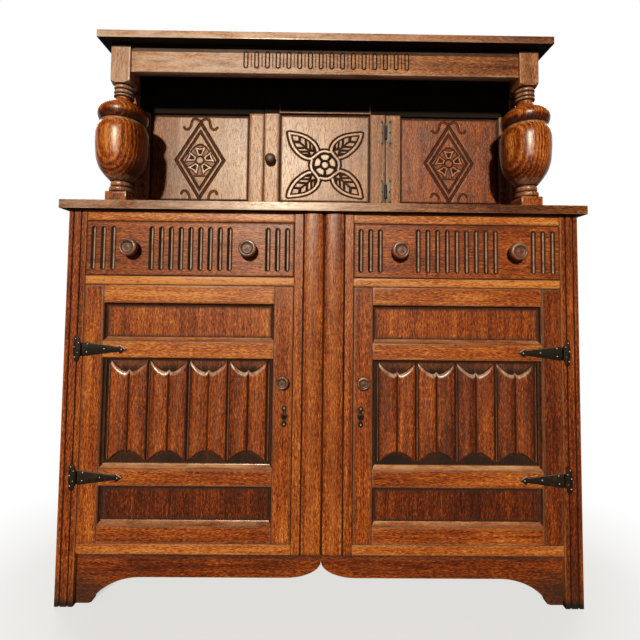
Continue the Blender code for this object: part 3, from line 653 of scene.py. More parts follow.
# sides: a frame of boards with two sunk panels
flank = {"stile": 0.055, "sink": 0.006, "tone": -0.03}
for side, word in sides:
    bm = newShape()
    low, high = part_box(word + "_side")
    inner, outer = (low.x, high.x) if side > 0 else (high.x, low.x)
    front = low.y + flank["stile"]
    rear = high.y - flank["stile"]
    middle = (low.y + high.y) / 2
    railLow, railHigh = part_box("drawer_rail")
    bands = ((low.z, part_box("base_rail")[1].z), (railLow.z, railHigh.z), (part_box("top_rail")[0].z, high.z))
    xs = sorted((inner, outer))
    for label, y in (("front", (low.y, front)), ("rear", (rear, high.y))):
        board(bm, (xs[0], y[0], low.z), (xs[1], y[1], high.z), "z", flank["tone"], word + label, 0.0015, 0.6)
    xs = sorted((inner, outer - side * 0.0004))
    for label, (bottom, top) in zip(("low", "middle", "high"), bands):
        board(bm, (xs[0], front, bottom), (xs[1], rear, top), "y", flank["tone"] + 0.06, word + label, 0.0015, 0.6)
    xs = sorted((inner, outer - side * flank["sink"]))
    for bottom, top in ((bands[0][1], bands[1][0]), (bands[1][1], bands[2][0])):
        for number, y in enumerate(((front, middle), (middle, rear))):
            board(bm, (xs[0], y[0], bottom), (xs[1], y[1], top), "z", flank["tone"] - 0.05 + 0.05 * number,
                  word + "flank" + str(number) + str(bottom), 0.0008, 0.1, 0.8, 0.012)
    settle(word + "Flank", bm, "oak", "carcass", [word + "_side"])


# back of upright planks, wide below and narrower above
back = {"planks": 7, "gap": 0.0008, "tone": -0.06}
bm = newShape()
low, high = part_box("back_board")
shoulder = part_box("main_top")[1].z
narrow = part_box("left_end")[0].x
width = (high.x - low.x) / back["planks"]
for number in range(back["planks"]):
    start = low.x + number * width
    xs = (start + back["gap"] / 2, start + width - back["gap"] / 2)
    tone = back["tone"] + random.Random(number + 5).uniform(-0.1, 0.1)
    outer = xs[0] < narrow or xs[1] > -narrow
    top = shoulder if outer else high.z
    bar(bm, (low, high), xs, (low.z, top), "z", tone, "plank" + str(number), 0.001, 0.4, 0.3)
    if outer:
        xs = (max(xs[0], narrow), min(xs[1], -narrow))
        bar(bm, (low, high), xs, (shoulder, high.z), "z", tone + 0.04, "upper" + str(number), 0.001, 0.4, 0.3)
settle("backPlanks", bm, "oak_inside", "carcass", ["back_board"])
for node, finish in (("floor_board", dryLengthways), ("dust_board", dryLengthways),
                     ("drawer_divider", dryFrontToBack)):
    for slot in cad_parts[node].material_slots:
        slot.material = finish
print("carcass made")


# fluted drawer fronts
flutes = {"pitch": 0.02325, "half": 0.0063, "depth": 0.0026, "reach": 0.0525, "middle": 9, "end": 3,
          "margin": 0.0162, "tones": {"left": -0.03, "right": -0.01}, "rightHighlight": 0.66}


def flutePlaces(half):
    middle = [(number - flutes["middle"] // 2) * flutes["pitch"] for number in range(flutes["middle"])]
    far = [half - flutes["margin"] - number * flutes["pitch"] for number in range(flutes["end"])]
    return sorted(middle + far + [-place for place in far])


def carveDrawer(gridX, gridZ):
    cut = blank(gridX)
    centre = (gridX.min() + gridX.max()) / 2
    level = (gridZ.min() + gridZ.max()) / 2
    up = np.clip(np.abs(gridZ - level) - (flutes["reach"] - flutes["half"]), 0, 1)
    low = ramp(level - gridZ, flutes["reach"] - 0.0085, flutes["reach"] - 0.0055)
    for place in flutePlaces((gridX.max() - gridX.min()) / 2):
        gap = np.hypot(gridX - centre - place, up) / flutes["half"]
        lean = (gridX - centre - place) / flutes["half"]
        cut["depth"] += flutes["depth"] * (1 - ramp(gap, 0.15, 1.0))
        # the flute walls are painted dark, partly stain and partly painted shade, with a painted highlight in a strip
        # just right of the middle
        lit = np.abs(lean - 0.18) + 0.3 * up / flutes["half"]
        wall = ramp(lit, 0.15, 0.36) * ramp(-gap, -1.16, -0.92)
        end = low * ramp(-gap, -0.75, -0.35)
        grow(cut, "dirt", (0.97 - 0.12 * ramp(lean, 0.2, 0.8)) * wall)
        grow(cut, "dirt", (0.16 - 0.16 * end) * ramp(-gap, -0.62, -0.34))
        grow(cut, "wear", 1.7 * ramp(-lit, -0.42, -0.2) * ramp(-gap, -0.9, -0.6))
        # a painted highlight at each flute's lower end
        grow(cut, "wear", 2.0 * end)
    # the right drawer's painted highlights are weaker
    cut["wear"] *= 1 if centre < 0 else flutes["rightHighlight"]
    edge = edgeDistance(gridX, gridZ)
    roundOver(cut, edge, 0.0012)
    grow(cut, "dirt", 0.6 * ramp(-edge, -0.006, 0))
    return cut


# knobs, as shares of the radius and of the length
dished = ((0, 0.90), (0.14, 0.895), (0.24, 0.878), (0.44, 0.872), (0.56, 0.885), (0.64, 0.93), (0.70, 0.975),
          (0.77, 1.0), (0.85, 0.985), (0.92, 0.945), (0.97, 0.87), (0.995, 0.77), (1.0, 0.64), (0.98, 0.5),
          (0.93, 0.37), (0.86, 0.24), (0.79, 0.12), (0.74, 0.05), (0.72, 0), (0, 0))
domed = ((0, 1.0), (0.3, 0.985), (0.55, 0.94), (0.75, 0.86), (0.9, 0.75), (1.0, 0.6), (0.98, 0.5), (0.9, 0.42),
         (0.6, 0.36), (0.42, 0.3), (0.38, 0.2), (0.40, 0.08), (0.46, 0), (0, 0))


def knob(name, node, body, tone, shape=dished, soot=0.1):
    bm = newShape()
    low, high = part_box(node)
    radius = (high.x - low.x) / 2
    length = high.y - low.y
    place = Vector(((low.x + high.x) / 2, high.y, (low.z + high.z) / 2))
    for vert in turned(bm, [(r * radius, h * length) for r, h in shape], place, 48, name, tone, True):
        out = (high.y - vert.co.y) / length
        x = (vert.co.x - place.x) / radius
        z = (vert.co.z - place.z) / radius
        reach = math.hypot(x, z)
        # painted shade: the back of the knob nearly black, the dish darker, the ring by the given amount
        vert[layer(bm, "dirt")] = 0.95 if out < 0.45 else 0.6 if out < 0.6 else 0.42 if reach < 0.68 else soot
        # painted highlight on the ring, toward the side that faces the key light
        shine = 0.35 + 0.9 * max(0, 0.6 * x * (1 if place.x < 0 else -1) + 0.8 * z)
        vert[layer(bm, "wear")] = shine if 0.68 < reach < 0.96 and out > 0.85 else 0.1
    settle(name, bm, "oak_dark", body, [node], 50, knobOak)


for side, word in sides:
    body = word + "_drawer"
    low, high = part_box(body + "_front")
    half = (high.x - low.x) / 2
    stops = [-half, -half + 0.002]
    steps = [3]
    for place in flutePlaces(half):
        stops += [place - 0.0075, place + 0.0075]
        steps += [5, 22]
    columns = (high.x + low.x) / 2 + spaced(stops + [half - 0.002, half], steps + [5, 3])
    level = (low.z + high.z) / 2
    rows = spaced((low.z, level - 0.056, level - 0.045, level + 0.045, level + 0.056, high.z), (6, 16, 10, 16, 6))
    carved(word + "FlutedFront", body + "_front", body, "oak_panel", carveDrawer, np.meshgrid(columns, rows), "x",
           flutes["tones"][word], word + "drawer")
    for end in ("outer", "inner"):
        knob(word + end.capitalize() + "DrawerKnob", body + "_" + end + "_knob", body, -0.18)
    bm = newShape()
    low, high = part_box(body + "_box")
    left = low.x + 0.010
    right = high.x - 0.010
    bar(bm, (low, high), (low.x, left), (low.z, high.z), "y", 0.0, word + "leftWall", 0.001, 0.5)
    bar(bm, (low, high), (right, high.x), (low.z, high.z), "y", 0.05, word + "rightWall", 0.001, 0.5)
    board(bm, (left, high.y - 0.010, low.z), (right, high.y, high.z), "x", -0.05, word + "rearWall", 0.001, 0.5)
    settle(word + "DrawerWalls", bm, "oak_inside", body, [body + "_box"])
    bm = newShape()
    low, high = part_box(body + "_bottom")
    width = (high.x - low.x) / 3
    for number in range(3):
        xs = (low.x + number * width, low.x + (number + 1) * width)
        bar(bm, (low, high), xs, (low.z, high.z), "y", 0.05 * number, word + "bottom" + str(number), 0.0006, 0.2, 0.3)
    settle(word + "DrawerBottom", bm, "oak_inside", body, [body + "_bottom"])
print("drawers made")


# doors: frames of boards, mouldings, panels and linenfold
door = {"stile": 0.045, "rails": ((0.696, 0.7382), (0.567, 0.6055), (0.2715, 0.310), (0.1413, 0.181)),
        "side": ((0.0, 0.0), (0.0008, 0.0010), (0.0016, 0.0055), (0.0030, 0.0080), (0.0050, 0.0092),
                 (0.0070, 0.0098), (0.0070, 0.0142), (0.0, 0.0142)),
        "sill": ((0.0, 0.0), (0.0020, 0.0040), (0.0040, 0.0065), (0.0065, 0.0086), (0.0090, 0.0094),
                 (0.0090, 0.0142), (0.0, 0.0142)), "sillHighlight": (0.8, 1.7, 0.8),
        "tones": {"left": {"outer": 0.02, "inner": 0.0, "rails": (0.19, 0.27, 0.08, -0.04),
                           "panels": (0.06, -0.30), "linen": -0.08},
                  "right": {"outer": -0.16, "inner": 0.01, "rails": (0.13, 0.08, 0.07, 0.03),
                            "panels": (0.04, -0.29), "linen": -0.17}}}
linen = {"units": 4, "margin": 0.006, "gap": 0.0056, "ground": 0.002, "rise": 0.0075, "topDrop": 0.027,
         "lowRise": 0.024, "lowLevel": 0.003, "roll": 0.014, "lowRoll": 0.0084, "bead": 0.0034}


def scallop(across):  # one unit's end, -1 to 1: two lobes that meet in a small point
    reach = np.clip(np.abs(across), 0, 1)
    lobe = 1 - np.clip((reach - 0.17) / 0.83, 0, 1) ** 1.6
    return np.where(reach < 0.17, 1 - 0.22 * (1 - reach / 0.17) ** 2, lobe)


def linenUnits(gridX):
    low = gridX.min() + linen["margin"]
    pitch = (gridX.max() - linen["margin"] - low) / linen["units"]
    number = np.clip(np.floor((gridX - low) / pitch), 0, linen["units"] - 1)
    across = (gridX - low - (number + 0.5) * pitch) / (pitch / 2 - linen["gap"] / 2)
    return number, across


def carveLinen(gridX, gridZ):
    cut = blank(gridX)
    number, across = linenUnits(gridX)
    shut = np.abs(across) > 1
    inside = np.abs(across) < 1
    strip = bump(2 * np.clip(np.abs(across), 0, 1) - 1)
    top = gridZ.max() - linen["topDrop"] * scallop(across)
    low = gridZ.min() + linen["lowLevel"] + linen["lowRise"] * scallop(across)
    upper = np.clip((top - gridZ) / linen["roll"], 0, 1)
    lower = np.clip((gridZ - low) / linen["lowRoll"], 0, 1)
    ends = bump(1 - upper) * bump(1 - lower)
    cut["depth"] = linen["ground"] - linen["rise"] * np.where(inside, 0.10 + 0.90 * strip ** 0.75, 0) * ends
    crease = ramp(-strip, -0.66, -0.22) * inside
    # the gaps between units and the creases are painted dark as shade
    cut["dirt"] = np.where(shut, 0.93, 0.95 * crease * ramp(ends, 0.05, 0.5))
    bead = ramp(-np.abs(across + 1.036), -0.040, -0.016)  # a thin rod stands in each gap
    last = ramp(-np.abs(across - 1.105), -0.040, -0.016) * (number == linen["units"] - 1)
    bead = np.maximum(bead, last)
    bead *= ramp(gridZ - gridZ.min(), 0.004, 0.010) * ramp(gridZ.max() - gridZ, 0.007, 0.012)
    cut["depth"] -= linen["bead"] * bead
    cut["dirt"] *= 1 - 0.8 * bead
    # painted shade round the rolled ends
    topGap = np.clip(gridZ - top, 0, 1) + 2 * np.clip(top - gridZ, 0, 1)
    rim = np.minimum(topGap, np.abs(gridZ - low) * 0.45)
    grow(cut, "dirt", 0.9 * ramp(-rim, -0.0035, 0) * inside)
    # painted shade below the lower ends and in the hollows and curls above the upper ends
    below = ramp(low - gridZ, -0.002, 0.003) * (np.abs(across) < 1.05)
    above = ramp(gridZ - top, 0, 0.003)
    curl = ramp(-np.abs(np.abs(across) - 0.22), -0.30, -0.08) * above * ramp(top - gridZ, -0.016, -0.007)
    grow(cut, "dirt", np.maximum(0.93 * below, 0.58 * above + 0.36 * curl) * (1 - bead))
    grow(cut, "dirt", 0.8 * ramp(-edgeDistance(gridX, gridZ), -0.005, 0))
    # painted highlight: a bright crescent on each rolled upper end
    lip = ramp(gridZ - top, -0.0120, -0.0075) * ramp(top - gridZ, 0.0008, 0.0025) * ~shut
    lip = lip * np.where(across < 0, 1, 0.75 * ramp(-across, -0.95, -0.55))  # the painted highlight is weaker on the far lobes
    cut["dirt"] *= 1 - 0.7 * lip
    cut["wear"] = np.maximum(1.5 * lip, 0.45 * bead)
    grow(cut, "wear", 0.10 * ramp(strip, 0.80, 1.0) * ramp(ends, 0.3, 0.8))
    chance = np.random.default_rng(7).uniform(-0.07, 0.07, 2 * linen["units"] + 2)
    cut["tone"] = chance[(2 * number + (across > 0)).astype(int)] + 0.10 * (ends < 0.02) * (gridZ > top)
    return cut


def linenGrid(node):
    low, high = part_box(node)
    base = np.linspace(low.x, high.x, 361)
    across = linenUnits(base)[1]
    bend = scallop(across) * (np.abs(across) < 1.2)
    topZ = high.z - linen["topDrop"] * bend
    lowZ = low.z + linen["lowLevel"] + linen["lowRise"] * bend
    flat = np.ones(base.shape)
    stops = (low.z * flat, lowZ - 0.002, lowZ + linen["lowRoll"], topZ - linen["roll"], topZ + 0.001, high.z * flat)
    gridZ = spaced(stops, (5, 11, 13, 17, 5))
    return np.tile(base, (len(gridZ), 1)), gridZ


def carvePlain(gridX, gridZ):
    cut = blank(gridX)
    # darker towards the edges, under the moulding: partly dirt, partly painted shade
    cut["dirt"] = 0.85 * ramp(-edgeDistance(gridX, gridZ), -0.010, 0.001)
    return cut


for side, word in sides:
    body = word + "_door"
    tones = door["tones"][word]
    low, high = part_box(body + "_frame")
    openLow = low.x + door["stile"]
    openHigh = high.x - door["stile"]
    latch, hang = ((openHigh, high.x), (low.x, openLow))[::-side]
    bm = newShape()
    for xs, tone, label in ((latch, "inner", "latch"), (hang, "outer", "hang")):
        bar(bm, (low, high), xs, (low.z, high.z), "z", tones[tone], word + label, 0.001, 0.4, 0.5)
    for number, ((bottom, top), tone) in enumerate(zip(door["rails"], tones["rails"])):
        board(bm, (openLow, low.y + 0.0002, bottom), (openHigh, high.y, top), "x", tone,
              word + "rail" + str(number), 0.0009, 0.5, 0.3)
    for number, wear in enumerate(door["sillHighlight"]):
        bottom, top = door["rails"][number + 1][1], door["rails"][number][0]
        moulding(bm, (openLow, bottom), (openHigh, top), low.y + 0.0004, door, tones["inner"] - 0.05,
                 word + "bead" + str(number), wear)
    settle(word + "DoorFrame", bm, "oak_light", body, [body + "_frame"])
    for label, tone in zip(("top", "bottom"), tones["panels"]):
        node = body + "_" + label + "_panel"
        carved(word + label.capitalize() + "Panel", node, body, "oak_panel", carvePlain, evenGrid(node, 90, 40), "z",
               tone, word + label)
    node = body + "_linenfold_panel"
    carved(word + "Linenfold", node, body, "oak_panel", carveLinen, linenGrid(node), "z", tones["linen"],
           word + "linen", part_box(body + "_top_panel")[0].y + 0.001)
    knob(word + "DoorKnob", body + "_knob", body, -0.22)
print("doors made")


# door ironwork: tapered straps, stile plates with a knuckle, keyhole plates
strap = {"root": 0.0170, "neck": 0.0057, "head": 0.0108, "headLength": 0.0165, "barb": 0.0012, "ease": 0.0010,
         "nails": ((0.0125, 0.0118), (0.0112, -0.0070), (0.0515, 0.0010)), "paintedGlint": {"left": 1.6, "right": 0.7}}
hinge = {"line": 0.57, "nails": ((0.58, 0.0242), (0.74, 0.0046), (0.66, -0.0190), (0.22, 0.0142), (0.30, -0.0085)),
         "half": ((0.0, 0.0160), (0.12, 0.0180), (0.18, 0.0225), (0.24, 0.0272), (0.40, 0.0308), (0.58, 0.0312),
                  (0.76, 0.0280), (0.84, 0.0236), (0.80, 0.0192), (0.83, 0.0145), (0.92, 0.0100),
                  (0.89, 0.0060), (0.90, 0.0))}
keyhole = {"ring": ((0.0028, 0.0), (0.0028, 0.0012), (0.0034, 0.0018), (0.0066, 0.0016), (0.0076, 0.0010),
                    (0.0078, 0.0), (0.0028, 0.0)),
           "hole": ((0, 0.0), (0.0031, 0.0), (0.0031, 0.0009), (0, 0.0009)),
           "lobe": ((-0.0038, 0.0068), (-0.0030, 0.0105), (-0.0056, 0.0142), (-0.0064, 0.0185), (-0.0048, 0.0228),
                    (0, 0.0258), (0.0048, 0.0228), (0.0064, 0.0185), (0.0056, 0.0142), (0.0030, 0.0105),
                    (0.0038, 0.0068)), "nail": 0.0185}
for side, word in sides:
    body = word + "_door"
    for level in ("upper", "lower"):
        name = word + level.capitalize()
        node = word + "_" + level + "_strap"
        low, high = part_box(node)
        middle = (low.z + high.z) / 2
        start = high.x if side > 0 else -low.x
        length = high.x - low.x
        neck = length - strap["headLength"]
        half = [(0.0, strap["root"]), (0.003, strap["root"] - 0.0002), (neck - 0.003, strap["neck"]),
                (neck - 0.001, strap["neck"] + 0.0012), (neck + strap["barb"], strap["head"]), (length, 0.0)]
        outline = bothWays([(start - along, up) for along, up in half], middle)
        bm = newShape()
        verts = plate(bm, mirrored(outline, side), low.y, high.y, strap["ease"])
        verts = [vert for vert in verts if vert.co.z > middle + 0.002]
        verts = [vert for vert in verts if low.y + 0.0001 < vert.co.y < high.y - 0.0001]  # the upper edge
        # painted glints along the upper edge, brightest on the arrowhead
        paint(bm, verts, "wear", 0.35)
        paint(bm, [vert for vert in verts if start - abs(vert.co.x) > neck - 0.0005], "wear", 1.5)
        for along, up in (*strap["nails"], (neck + 0.0050, -0.0006)):
            nail(bm, side * (start - along), low.y, middle + up, 0.0017, 1)
        head = ((neck + 0.0012, strap["head"] - 0.0006), (neck + 0.0012, strap["head"] - 0.0026),
                (length - 0.0040, 0.0004), (length - 0.0010, 0.0004))  # a painted glint along its upper edge
        edge = [(start - along, middle + up) for along, up in head]
        paintedGlint = plate(bm, mirrored(edge, side), low.y - 0.0003, low.y + 0.0005, 0.0001)
        paint(bm, paintedGlint, "wear", strap["paintedGlint"][word])
        settle(name + "Strap", bm, "iron", body, [node])
        node = word + "_" + level + "_hinge_plate"
        near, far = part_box(node)
        wide = abs(far.x if side > 0 else near.x) - hinge["line"]
        outline = bothWays([(hinge["line"] + wide * out, up) for out, up in hinge["half"]], middle)
        bm = newShape()
        plate(bm, mirrored(outline, side), low.y, high.y, strap["ease"])
        pin = barrel((far.y - near.y) / 2, 0.0145, 0.0137, 0.86)
        turned(bm, pin, (side * hinge["line"], (near.y + far.y) / 2, middle), 20, node, 0)
        for out, up in hinge["nails"]:
            nail(bm, side * (hinge["line"] + wide * out), low.y, middle + up, 0.0016, 1)
        settle(name + "HingePlate", bm, "iron", "carcass", [node])
    node = body + "_keyhole_plate"
    low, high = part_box(node)
    place = Vector(((low.x + high.x) / 2, high.y, (low.z + high.z) / 2))
    bm = newShape()
    turned(bm, keyhole["ring"], place, 32, node, 0, True)
    for up in (1, -1):
        lobe = [(place.x + x, place.z + up * z) for x, z in keyhole["lobe"]]
        plate(bm, lobe, low.y + 0.0002, high.y, 0.0004)
        nail(bm, place.x, low.y, place.z + up * keyhole["nail"], 0.0022)
    settle(word + "KeyholePlate", bm, "iron", body, [node])
    bm = newShape()
    # the hole is a disc painted near black as shade
    paint(bm, turned(bm, keyhole["hole"], place, 16, node + "hole", -0.5, True), "dirt", 1.3)
    settle(word + "Keyhole", bm, "iron", body, (), finish=finishes["oak_dark"])
print("ironwork made")


# columns: square post, neck beads, covered cup, foot beads, plinth
column = {"steps": 72, "tone": (0.10, 0.06), "turn": {"left": 0.15, "right": 1.1}, "postHalf": 0.0235,
          "postLow": 1.2256, "plinthHalf": 0.0255, "plinthTop": 0.961,
          "levels": (0.957, 0.988, 1.010, 1.050, 1.124, 1.182, 1.202, 1.231),
          "lift": {"left": (0, 0, 0, 0, 0.0095, 0.0050, 0.0010, 0.0020),  # the hand-turned pair differ
                   "right": (0, 0.0020, 0.0050, 0.0050, 0.0145, 0.0080, 0.0090, 0.0100)},
          "slim": {"left": 0.015, "right": 0.030}, "lean": {"left": 0.0, "right": 0.0022},
          "beadWear": {"left": 0.75, "right": 0.5}, "postGlare": {"left": 0.8, "right": 0.1},
          "hollows": (1.2250, 1.2236, 1.2130, 1.2023, 1.1937, 1.1240, 1.1230, 0.9880, 0.9745, 0.9615)}
cover = ((0.0190, 1.1934), (0.0196, 1.1870), (0.0228, 1.1819), (0.0350, 1.1749), (0.0503, 1.1618),
         (0.0570, 1.1483), (0.0556, 1.1337), (0.0514, 1.1254))
cup = ((0.0498, 1.1240), (0.0499, 1.1230), (0.0516, 1.1218), (0.0519, 1.1202), (0.0512, 1.1190),
       (0.0540, 1.1150), (0.0578, 1.1070), (0.0596, 1.0976), (0.0599, 1.0860), (0.0597, 1.0722),
       (0.0582, 1.0530), (0.0560, 1.0372), (0.0490, 1.0177), (0.0368, 1.0018), (0.0255, 0.9905),
       (0.0205, 0.9880))


def beadRing(core, swell, level, drop, end):
    arc = [turn * math.pi / 6 for turn in range(1, 6)]
    ring = [(core + swell * math.sin(angle), level - drop * (1 - math.cos(angle)) / 2) for angle in arc]
    return ring + [(end, level - drop)]


profile = [(0, 1.231), (0.0205, 1.231), (0.0208, 1.2265), (0.0196, 1.2246), (0.0184, 1.2237)]
for level, drop in ((1.2235, 0.0105), (1.2130, 0.0107), (1.2023, 0.0086)):
    profile += beadRing(0.0190, 0.0040, level, drop, 0.0188)
for part in (cover, cup):
    profile += [tuple(point) for point in curve(part, 6)]
for core, swell, level, end in ((0.0203, 0.0035, 0.9875, 0.0206), (0.0229, 0.0040, 0.9745, 0.0232)):
    profile += beadRing(core, swell, level, 0.013, end)
profile += [(0.0232, 0.9575), (0, 0.9575)]
for (side, word), tone in zip(sides, column["tone"]):
    low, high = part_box(word + "_column")
    middle = Vector(((low.x + high.x) / 2, (low.y + high.y) / 2, 0))
    lean = column["lean"][word]
    lift = column["lift"][word]
    bm = newShape()
    grain = bm.verts.layers.float_vector["grain"]
    spun = Matrix.Rotation(column["turn"][word], 3, "Z")
    for vert in turned(bm, profile, middle, column["steps"], word + "column", tone):
        out = vert.co - middle
        z = vert.co.z
        along = spun @ out
        vert[grain] = Vector((along.z, along.x, along.y)) + Vector((side * 3.1, 1.7, 0.4))
        gap = min(abs(z - place) for place in column["hollows"])
        bead = z > 1.192 or z < 0.9885
        vert[layer(bm, "dirt")] = max(0.0, (1.05 - gap / 0.0042) if bead else (0.9 - gap / 0.0035))
        # painted highlights on the beads and on the cup's rim
        rubbedAndSheen = column["beadWear"][word] if bead or 1.1185 < z < 1.122 else 0
        vert[layer(bm, "wear")] = 0.35 if z < 1 else rubbedAndSheen
        # painted shade: darker on the side away from the key light, under the cup's swell and under the cover's lip
        lit = ramp((-0.30 * out.x - 0.95 * out.y) / (math.hypot(out.x, out.y) or 1), 0.05, 0.65)
        under = 0.30 * ramp(1.052 - z, 0, 0.045) if z > 0.99 else 0
        if 1.1245 < z < 1.16:
            under = 0.50 * ramp(1.145 - z, 0, 0.011)
        vert[layer(bm, "tone")] = tone - 0.42 * (1 - lit) - under
        slim = 1 - column["slim"][word] * ramp(z, 0.99, 1.02) * ramp(-z, -1.19, -1.17)
        vert.co.x = middle.x + out.x * slim - lean * ramp(z, 0.97, 1.03)
        vert.co.y = middle.y + out.y * slim
        vert.co.z += np.interp(z, column["levels"], lift)
    settle(word + "TurnedColumn", bm, "oak_turned", "carcass", [word + "_column"], 50)
    bm = newShape()
    half = column["postHalf"]
    bottom = column["postLow"] + lift[-1]
    post = middle - Vector((lean, 0, 0))
    verts = bmesh.ops.create_cube(bm, size=1)["verts"]
    bmesh.ops.scale(bm, vec=(2 * half, 2 * half, high.z - bottom), verts=verts)
    bmesh.ops.translate(bm, vec=post + Vector((0, 0, (high.z + bottom) / 2)), verts=verts)
    bmesh.ops.subdivide_edges(bm, edges=bm.edges[:], cuts=15, use_grid_fill=True)
    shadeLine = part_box("canopy_top")[0].z - 0.0098  # the canopy's shadow is painted across the post's top
    cutAcross(bm, "z", (shadeLine - 0.0008, shadeLine))
    for vert in bm.verts:
        out = vert.co - post
        corner = max(0.0, math.hypot(out.x, out.y) - 0.0255)
        vert.co.z += corner * 0.85 * max(0.0, 1 - (vert.co.z - bottom) / 0.012)
        arris = min(abs(out.x), abs(out.y)) > 0.0225
        if arris:
            vert.co.x -= math.copysign(0.0006, out.x)
            vert.co.y -= math.copysign(0.0006, out.y)
        # painted glare on the left post, besides the worn arrises
        vert[layer(bm, "wear")] = max(0.5 if arris else 0.0, column["postGlare"][word])
        vert[layer(bm, "dirt")] = 1.1 if vert.co.z > shadeLine - 0.0004 else 0.0
    dress(bm, bm.verts, "z", tone + 0.02, word + "post")
    settle(word + "PostBlock", bm, "oak", "carcass", (), finish=upperOak)
    bm = newShape()
    reach = Vector((column["plinthHalf"], column["plinthHalf"], 0))
    top = Vector((0, 0, column["plinthTop"]))
    board(bm, middle - reach + Vector((0, 0, low.z)), middle + reach + top, "z", -0.05, word + "plinth", 0.0016, 0.8)
    settle(word + "Plinth", bm, "oak", "carcass", ())
print("columns made")


# frieze: grooved round-ended outlines with short strokes between
frieze = {"count": 16, "first": -0.195875, "pitch": 0.02625, "half": 0.0046, "line": 0.0017, "length": 0.0402,
          "stroke": 0.031, "strokeLine": 0.0011, "depth": 0.0016, "carved": (-0.212, 0.214), "tone": 0.02}


def carveFrieze(gridX, gridZ):
    cut = blank(gridX)
    level = (gridZ.min() + gridZ.max()) / 2
    for number in range(frieze["count"]):
        x = gridX - frieze["first"] - number * frieze["pitch"]
        up = np.clip(np.abs(gridZ - level) - (frieze["length"] / 2 - frieze["half"]), 0, 1)
        gap = np.abs(np.hypot(x, up) - frieze["half"]) / frieze["line"]
        cut["depth"] += frieze["depth"] * np.clip(1 - gap ** 2, 0, 1)
        grow(cut, "dirt", ramp(-gap, -1.3, -0.4))
        if number < frieze["count"] - 1:
            up = np.clip(np.abs(gridZ - level + 0.001) - frieze["stroke"] / 2, 0, 1)
            gap = np.hypot(x - frieze["pitch"] / 2, up) / frieze["strokeLine"]
            cut["depth"] += frieze["depth"] / 2 * np.clip(1 - gap ** 2, 0, 1)
            grow(cut, "dirt", 0.85 * ramp(-gap, -1.6, -0.3))
    roundOver(cut, edgeDistance(gridX, gridZ), 0.001)
    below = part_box("canopy_top")[0].z - gridZ
    for soot, far, near in ((0.98, -0.0108, -0.0090), (0.82, -0.0190, -0.0168)):  # the canopy's painted shadow
        grow(cut, "dirt", soot * ramp(-below, far, near))
    # a pale line along the lower edge, partly wear and partly painted highlight, and painted glare toward the left
    cut["wear"] = np.maximum(1.3 * ramp(gridZ.min() - gridZ, -0.003, 0), 0.8 * ramp(-gridX, -0.15, 0.35))
    # tone paler to the left and darker to the right, with the painted glare
    cut["tone"] = 0.04 - 0.24 * gridX
    return cut


bm = newShape()
low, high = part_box("frieze_rail")
armLow = low.z
columns = spaced((low.x, *frieze["carved"], high.x), (30, 560, 30))
grid = np.meshgrid(columns, spaced((low.z, low.z + 0.003, high.z), (3, 84)))
sheet(bm, *grid, low.y, high.y, carveFrieze, "x", frieze["tone"], "frieze")
# the back and underside painted near black as shade
paint(bm, [vert for vert in bm.verts if vert.co.y > low.y + 0.004], "dirt", 0.95)
settle("carvedFrieze", bm, "oak", "carcass", ["frieze_rail"], finish=upperOak)


# upper ends, each a board with an arm forward to its post
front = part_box("upper_frame")[0].y
for side, word in sides:
    bm = newShape()
    low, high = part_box(word + "_end")
    board(bm, (low.x, front, low.z), (high.x, high.y, high.z), "z", -0.02, word + "end", 0.0012, 0.6)
    board(bm, (low.x, low.y, armLow), (high.x, front, high.z), "y", 0.02, word + "arm", 0.0012, 0.6)
    # the arm's underside painted dark as shade
    paint(bm, [vert for vert in bm.verts if vert.co.z < armLow + 0.0005 and vert.co.y < front], "dirt", 0.9)
    settle(word + "UpperEnd", bm, "oak", "carcass", [word + "_end"], finish=upperOak)


# upper frame: head, sill, stiles and muntins round two sunk panels and the door
upper = {"muntin": 0.2043, "panelLow": 0.9695, "panelTop": 1.208, "post": 0.4745, "opening": 0.1658,
         "tones": {"left": 0.0, "right": -0.06}, "headShadow": 1.2, "shadeLow": 1.2105,
         "side": ((0.0, 0.0), (0.0006, 0.0010), (0.0014, 0.0055), (0.0044, 0.0078), (0.0046, 0.0100),
                  (0.0, 0.0100)),
         "head": ((0.0, 0.0), (0.0006, 0.0010), (0.0012, 0.0055), (0.0066, 0.0078), (0.0068, 0.0100),
                  (0.0, 0.0100)),
         "sill": ((0.0, 0.0), (0.0004, 0.0010), (0.0010, 0.0060), (0.0016, 0.0078), (0.0018, 0.0100),
                  (0.0, 0.0100))}
bm = newShape()
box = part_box("upper_frame")
low, high = box
shaded = (upper["shadeLow"], high.z)
lit = (low.z, upper["shadeLow"])


def sooty(xs, zs, *look):  # a board painted dark as the frieze's shadow
    paint(bm, bar(bm, box, xs, zs, *look), "dirt", upper["headShadow"])


for side, word in sides:
    tone = upper["tones"][word]
    muntin = (side * upper["opening"], side * upper["muntin"])
    jamb = (side * upper["post"], side * high.x)
    panel = sorted((side * upper["muntin"], side * upper["post"]))
    # the muntin's tone is raised as painted glare
    bar(bm, box, muntin, lit, "z", tone + 0.10, word + "muntin", 0.001, 0.4, 0.3)
    bar(bm, box, jamb, lit, "z", tone, word + "jamb", 0.001, 0.4, 0.3)
    sooty(jamb, shaded, "z", tone, word + "jambTop", 0.0004, 0)
    bar(bm, box, panel, (low.z, upper["panelLow"]), "x", tone, word + "upperSill", 0.001, 0.5)
    sooty(panel, (upper["panelTop"], high.z), "x", tone, word + "upperHead", 0.001)
    moulding(bm, (panel[0], upper["panelLow"]), (panel[1], upper["panelTop"]), low.y + 0.0003, upper, tone,
             word + "upperBead")
    sooty(muntin, shaded, "z", tone, word + "muntinTop", 0.0004, 0)
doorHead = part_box("upper_door_frame")[1].z + 0.0013
